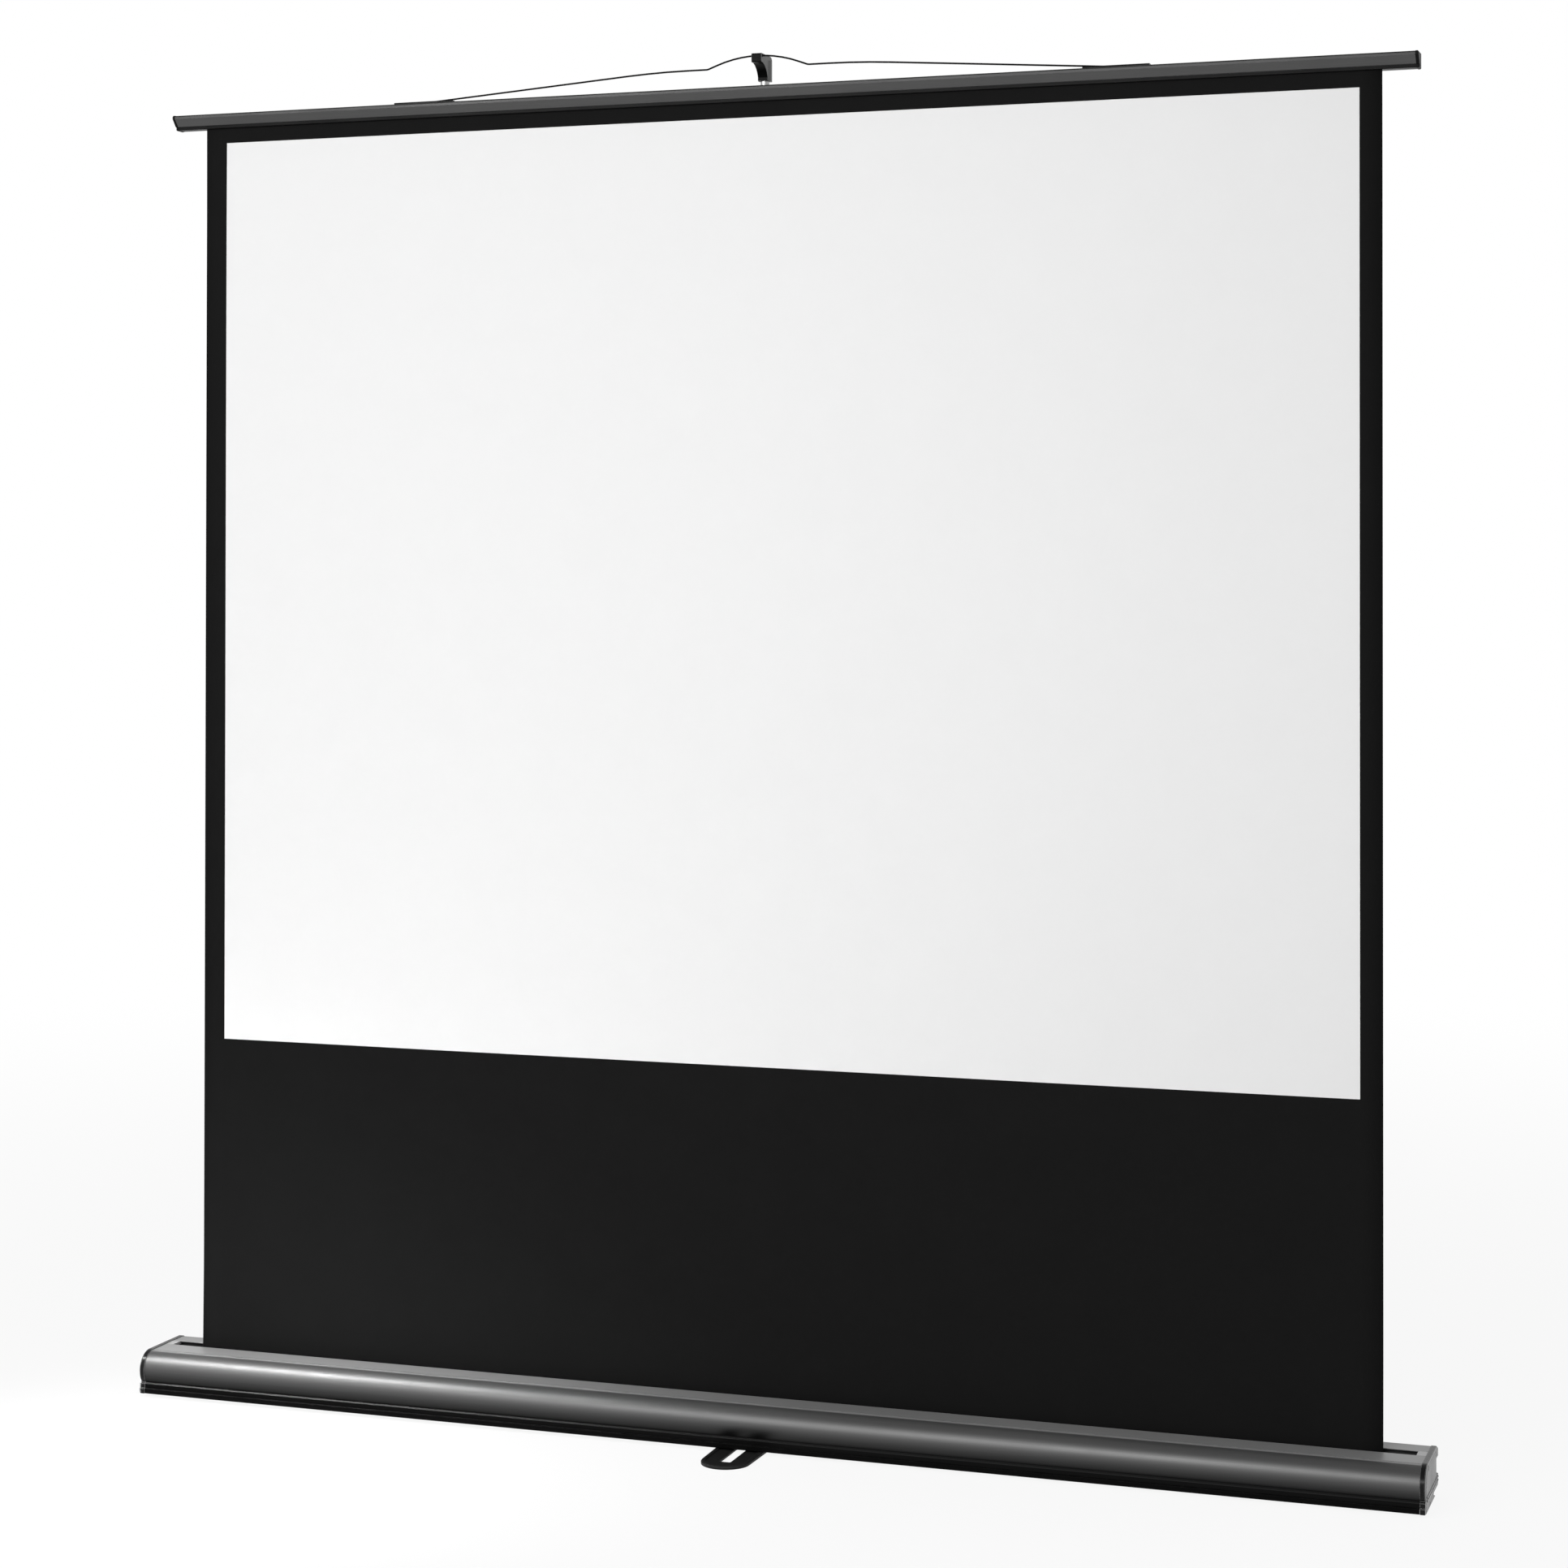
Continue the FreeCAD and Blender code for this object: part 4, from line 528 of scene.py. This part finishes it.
NODE_FINISHES = {
    case_satin: ["case_shell"],
    rail_satin: ["top_rail"],
    pole_bright: ["pole_lower_tube", "pole_mid_tube", "pole_top_tube"],
    plated_steel: [
        "roller_tube", "spring_end_bracket", "idler_end_bracket", "spring_shaft", "idler_pin",
        "foot_washer", "foot_lock_nut", "foot_pivot_bolt", "hem_rod",
    ],
    spring_oiled: ["roller_spring"],
    base_black: ["base_rail"],
    foot_black: ["swivel_foot"],
    cap_black: ["left_end_cap", "right_end_cap"],
    rail_cap_black: ["left_rail_cap", "right_rail_cap"],
    plug_grey: ["left_slot_plug", "right_slot_plug"],
    head_black: ["hook_head"],
    clip_black: ["left_bow_clip", "right_bow_clip"],
    lock_black: ["pole_socket", "lower_lock_collar", "upper_lock_collar", "socket_thumb_screw"],
    inner_nylon: [
        "spring_plug", "idler_plug", "spring_anchor", "lower_tube_plug", "lower_collet",
        "upper_collet", "mid_glide_bush", "top_glide_bush",
    ],
    wire_black: ["lift_bow"],
    screw_black: [
        "end_cap_screws", "bracket_screws", "base_rail_screws", "socket_screws",
        "bow_clip_screws", "hook_screw",
    ],
}


def dress(piece, *finishes):
    piece.data.materials.clear()
    for finish in finishes:
        piece.data.materials.append(finish)


for finish, names in NODE_FINISHES.items():
    for name in names:
        dress(nodes[name], finish)


# The cloth


def new_piece(name, points, faces):
    mesh = bpy.data.meshes.new(name)
    mesh.from_pydata(points, [], faces)
    mesh.update()
    piece = bpy.data.objects.new(name, mesh)
    bpy.context.scene.collection.objects.link(piece)
    return piece


def spaced(stops, step):
    """Values from the first stop to the last, with every stop kept."""
    line = [stops[0]]
    for start, end in zip(stops, stops[1:]):
        parts = max(1, round((end - start) / step))
        line += [start + (end - start) * part / parts for part in range(1, parts + 1)]
    return line


def two_sided_sheet(name, columns, rows, point_at, flat_at):
    """A closed thin sheet: a front, a back and the cut edge between them."""
    across, along = len(columns), len(rows)
    points = []
    for side in (-1, 1):
        for row in rows:
            for column in columns:
                points.append(point_at(column, row, side * CLOTH_THICKNESS / 2))
    back = across * along
    faces = []
    for j in range(along - 1):
        for i in range(across - 1):
            a = j * across + i
            front = (a, a + 1, a + 1 + across, a + across)
            faces.append(front)
            faces.append(tuple(back + k for k in reversed(front)))
    rim = list(range(across))
    rim += [j * across + across - 1 for j in range(1, along)]
    rim += [(along - 1) * across + i for i in range(across - 2, -1, -1)]
    rim += [j * across for j in range(along - 2, 0, -1)]
    for first, second in zip(rim, rim[1:] + rim[:1]):
        faces.append((second, first, first + back, second + back))
    piece = new_piece(name, points, faces)
    layer = piece.data.uv_layers.new(name="flat_cut")
    for loop in piece.data.loops:
        place = loop.vertex_index % back
        layer.data[loop.index].uv = flat_at(columns[place % across], rows[place // across])
    piece.data.polygons.foreach_set("use_smooth", [True] * len(piece.data.polygons))
    return piece


cloth_low, cloth_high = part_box("screen_cloth")
cloth_plane = (cloth_low.y + cloth_high.y) / 2
cloth_half = cloth_high.x
slot_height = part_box("case_shell")[1].z
rail_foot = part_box("top_rail")[0].z


def cloth_sway(x, z):
    """How far the cloth stands off its plane: a little slack, and edges that curl back."""
    above_slot = min(1, max(0, (z - slot_height) / SLACK_FADE))
    below_rail = min(1, max(0, (rail_foot - z) / SLACK_FADE))
    free = above_slot * below_rail
    broad = math.sin(BROAD_ACROSS * x + BROAD_START_ACROSS) * math.sin(BROAD_UP * z + BROAD_START_UP)
    slack = broad + FINE_SHARE * math.sin(FINE_ACROSS * x - FINE_UP * z)
    edge = max(0, 1 - (cloth_half - abs(x)) / EDGE_CURL_WIDTH)
    return free * (SLACK_DEPTH * slack + EDGE_CURL * edge**2)


def make_screen_cloth():
    white_left = LEFT_BORDER - cloth_half
    white_right = cloth_half - RIGHT_BORDER
    columns = spaced([-cloth_half, white_left, white_right, cloth_half], CLOTH_STEP)
    rows = spaced([cloth_low.z, slot_height, WHITE_BOTTOM, WHITE_TOP, rail_foot, cloth_high.z], CLOTH_STEP)
    piece = two_sided_sheet(
        "drawn_cloth", columns, rows,
        lambda x, z, off: (x, cloth_plane + cloth_sway(x, z) + off, z),
        lambda x, z: (x + cloth_half, z),
    )
    dress(piece, screen_black, screen_white)
    for face in piece.data.polygons:
        x, y, z = face.center
        inside = white_left < x < white_right and WHITE_BOTTOM < z < WHITE_TOP
        face.material_index = int(inside and face.normal.y < -0.5)
    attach(piece, "case")
    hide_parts("screen_cloth")
    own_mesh(piece)


def make_wound_cloth():
    """The turns that stay on the roller, as the spiral they are."""
    low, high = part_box("cloth_wraps")
    tube_low, tube_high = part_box("roller_tube")
    centre_y = (low.y + high.y) / 2
    centre_z = (low.z + high.z) / 2
    inner = (tube_high.z - tube_low.z) / 2 + CLOTH_THICKNESS
    outer = (high.z - low.z) / 2 - CLOTH_THICKNESS
    turns = [2 * math.pi * step / WOUND_STEPS for step in range(WOUND_TURNS * WOUND_STEPS + 1)]
    grow = (outer - inner) / turns[-1]

    def on_spiral(x, turn, off):
        radius = inner + grow * turn + off
        return (x, centre_y + radius * math.cos(turn), centre_z + radius * math.sin(turn))

    length = turns[-1] * (inner + outer) / 2
    piece = two_sided_sheet(
        "wound_cloth", spaced([low.x, high.x], (high.x - low.x) / WOUND_COLUMNS), turns, on_spiral,
        lambda x, turn: (x + cloth_half, length * turn / turns[-1]),
    )
    dress(piece, screen_black)
    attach(piece, "roller")
    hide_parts("cloth_wraps")


make_screen_cloth()
make_wound_cloth()


# Floor, light and view

FLOOR_HALF = 60
FLOOR_DROP = 0.0004
FLOOR_GREY = 0.74
NEAR_SHARE = 0.90
NEAR_REACH = 1.2
FAR_REACH = 5.0
SKY_FILL = 0.46
ZENITH_TONE = 0.35
HAZE_TOP = 0.3
SOFTBOXES = {
    "case_softbox": {
        "place": (-1.75, -0.85, 1.79), "target": (-0.66, -0.37, 0),
        "width": 0.25, "height": 0.25, "watts": 3.6, "spread": 30,
    },
    "front_softbox": {
        "place": (-0.25, -3.3, 1.7), "target": (0.2, 0, 0.3),
        "width": 1.8, "height": 0.8, "watts": 44,
    },
    "upper_softbox": {
        "place": (-1.9, -3.0, 2.35), "target": (-0.1, 0, 1.5),
        "width": 1.2, "height": 0.6, "watts": 24,
    },
}


def seen_directly(tree):
    """1 where the eye, a reflection or a clear piece looks at the surface, else 0."""
    path = add_node(tree, "ShaderNodeLightPath")
    last = path.outputs["Is Camera Ray"]
    for name in ("Is Glossy Ray", "Is Transmission Ray"):
        both = add_node(tree, "ShaderNodeMath", operation="MAXIMUM")
        tree.links.new(last, both.inputs[0])
        tree.links.new(path.outputs[name], both.inputs[1])
        last = both.outputs["Value"]
    return last


def make_floor():
    """A pale floor that keeps the shadow near the part and fades to plain white far off."""
    corners = [(-1, -1), (1, -1), (1, 1), (-1, 1)]
    points = [(x * FLOOR_HALF, y * FLOOR_HALF, -FLOOR_DROP) for x, y in corners]
    floor = new_piece("pale_floor", points, [(0, 1, 2, 3)])
    paint = bpy.data.materials.new("pale_floor_paint")
    paint.use_nodes = True
    tree = paint.node_tree
    tree.nodes.clear()
    out = add_node(tree, "ShaderNodeOutputMaterial")
    matt = add_node(tree, "ShaderNodeBsdfDiffuse", {"Color": grey(FLOOR_GREY)})
    white = add_node(tree, "ShaderNodeEmission", {"Color": grey(1.0), "Strength": 1})
    place = add_node(tree, "ShaderNodeTexCoord")
    reach = add_node(tree, "ShaderNodeVectorMath", operation="LENGTH")
    fade = add_node(
        tree, "ShaderNodeMapRange",
        {"From Min": NEAR_REACH, "From Max": FAR_REACH, "To Min": NEAR_SHARE, "To Max": 1},
        interpolation_type="SMOOTHSTEP",
    )
    share = add_node(tree, "ShaderNodeMath", operation="MULTIPLY")
    mix = add_node(tree, "ShaderNodeMixShader")
    tree.links.new(place.outputs["Object"], reach.inputs[0])
    tree.links.new(reach.outputs["Value"], fade.inputs["Value"])
    tree.links.new(fade.outputs["Result"], share.inputs[0])
    tree.links.new(seen_directly(tree), share.inputs[1])
    tree.links.new(share.outputs["Value"], mix.inputs[0])
    tree.links.new(matt.outputs["BSDF"], mix.inputs[1])
    tree.links.new(white.outputs["Emission"], mix.inputs[2])
    tree.links.new(mix.outputs["Shader"], out.inputs["Surface"])
    dress(floor, paint)


def make_world():
    """White round about and greyer overhead where it is seen, and a plain fill for the rest."""
    world = bpy.data.worlds.new("white_studio")
    bpy.context.scene.world = world
    world.use_nodes = True
    tree = world.node_tree
    sky = tree.nodes["Background"]
    sky.inputs["Color"].default_value = grey(1.0)
    place = add_node(tree, "ShaderNodeTexCoord")
    split = add_node(tree, "ShaderNodeSeparateXYZ")
    seen_tone = add_node(
        tree, "ShaderNodeMapRange",
        {"From Min": HAZE_TOP, "From Max": 1, "To Min": 1, "To Max": ZENITH_TONE},
    )
    level = add_node(tree, "ShaderNodeMapRange", {"To Min": SKY_FILL})
    tree.links.new(place.outputs["Generated"], split.inputs["Vector"])
    tree.links.new(split.outputs["Z"], seen_tone.inputs["Value"])
    tree.links.new(seen_tone.outputs["Result"], level.inputs["To Max"])
    tree.links.new(seen_directly(tree), level.inputs["Value"])
    tree.links.new(level.outputs["Result"], sky.inputs["Strength"])


def aim(thing, place, target):
    thing.location = place
    thing.rotation_euler = (Vector(target) - Vector(place)).to_track_quat("-Z", "Y").to_euler()


def add_softbox(name, place, target, width, height, watts, spread=180):
    """A rectangular softbox; a spread under 180 degrees is a grid in front of it."""
    lamp = bpy.data.lights.new(name, "AREA")
    lamp.shape = "RECTANGLE"
    lamp.size = width
    lamp.size_y = height
    lamp.energy = watts
    lamp.spread = math.radians(spread)
    softbox = bpy.data.objects.new(name, lamp)
    softbox.visible_camera = False
    bpy.context.scene.collection.objects.link(softbox)
    aim(softbox, place, target)


def make_camera():
    camera = bpy.data.objects.new("photo_view", bpy.data.cameras.new("photo_view"))
    bpy.context.scene.collection.objects.link(camera)
    camera.data.sensor_width = SENSOR_WIDTH
    camera.data.lens = SENSOR_WIDTH * FOCAL_PIXELS / PHOTO_WIDTH
    camera.data.shift_y = (AXIS_ROW - PHOTO_WIDTH / 2) / PHOTO_WIDTH
    turn = Matrix.Rotation(math.radians(CAMERA_YAW), 4, "Z")
    lift = Matrix.Rotation(math.radians(90 + CAMERA_PITCH), 4, "X")
    roll = Matrix.Rotation(math.radians(CAMERA_ROLL), 4, "Z")
    camera.matrix_world = Matrix.Translation(CAMERA_PLACE) @ turn @ lift @ roll
    bpy.context.scene.camera = camera


make_floor()
make_world()
for name, softbox in SOFTBOXES.items():
    add_softbox(name, **softbox)
make_camera()
bpy.context.scene.view_settings.view_transform = "Standard"
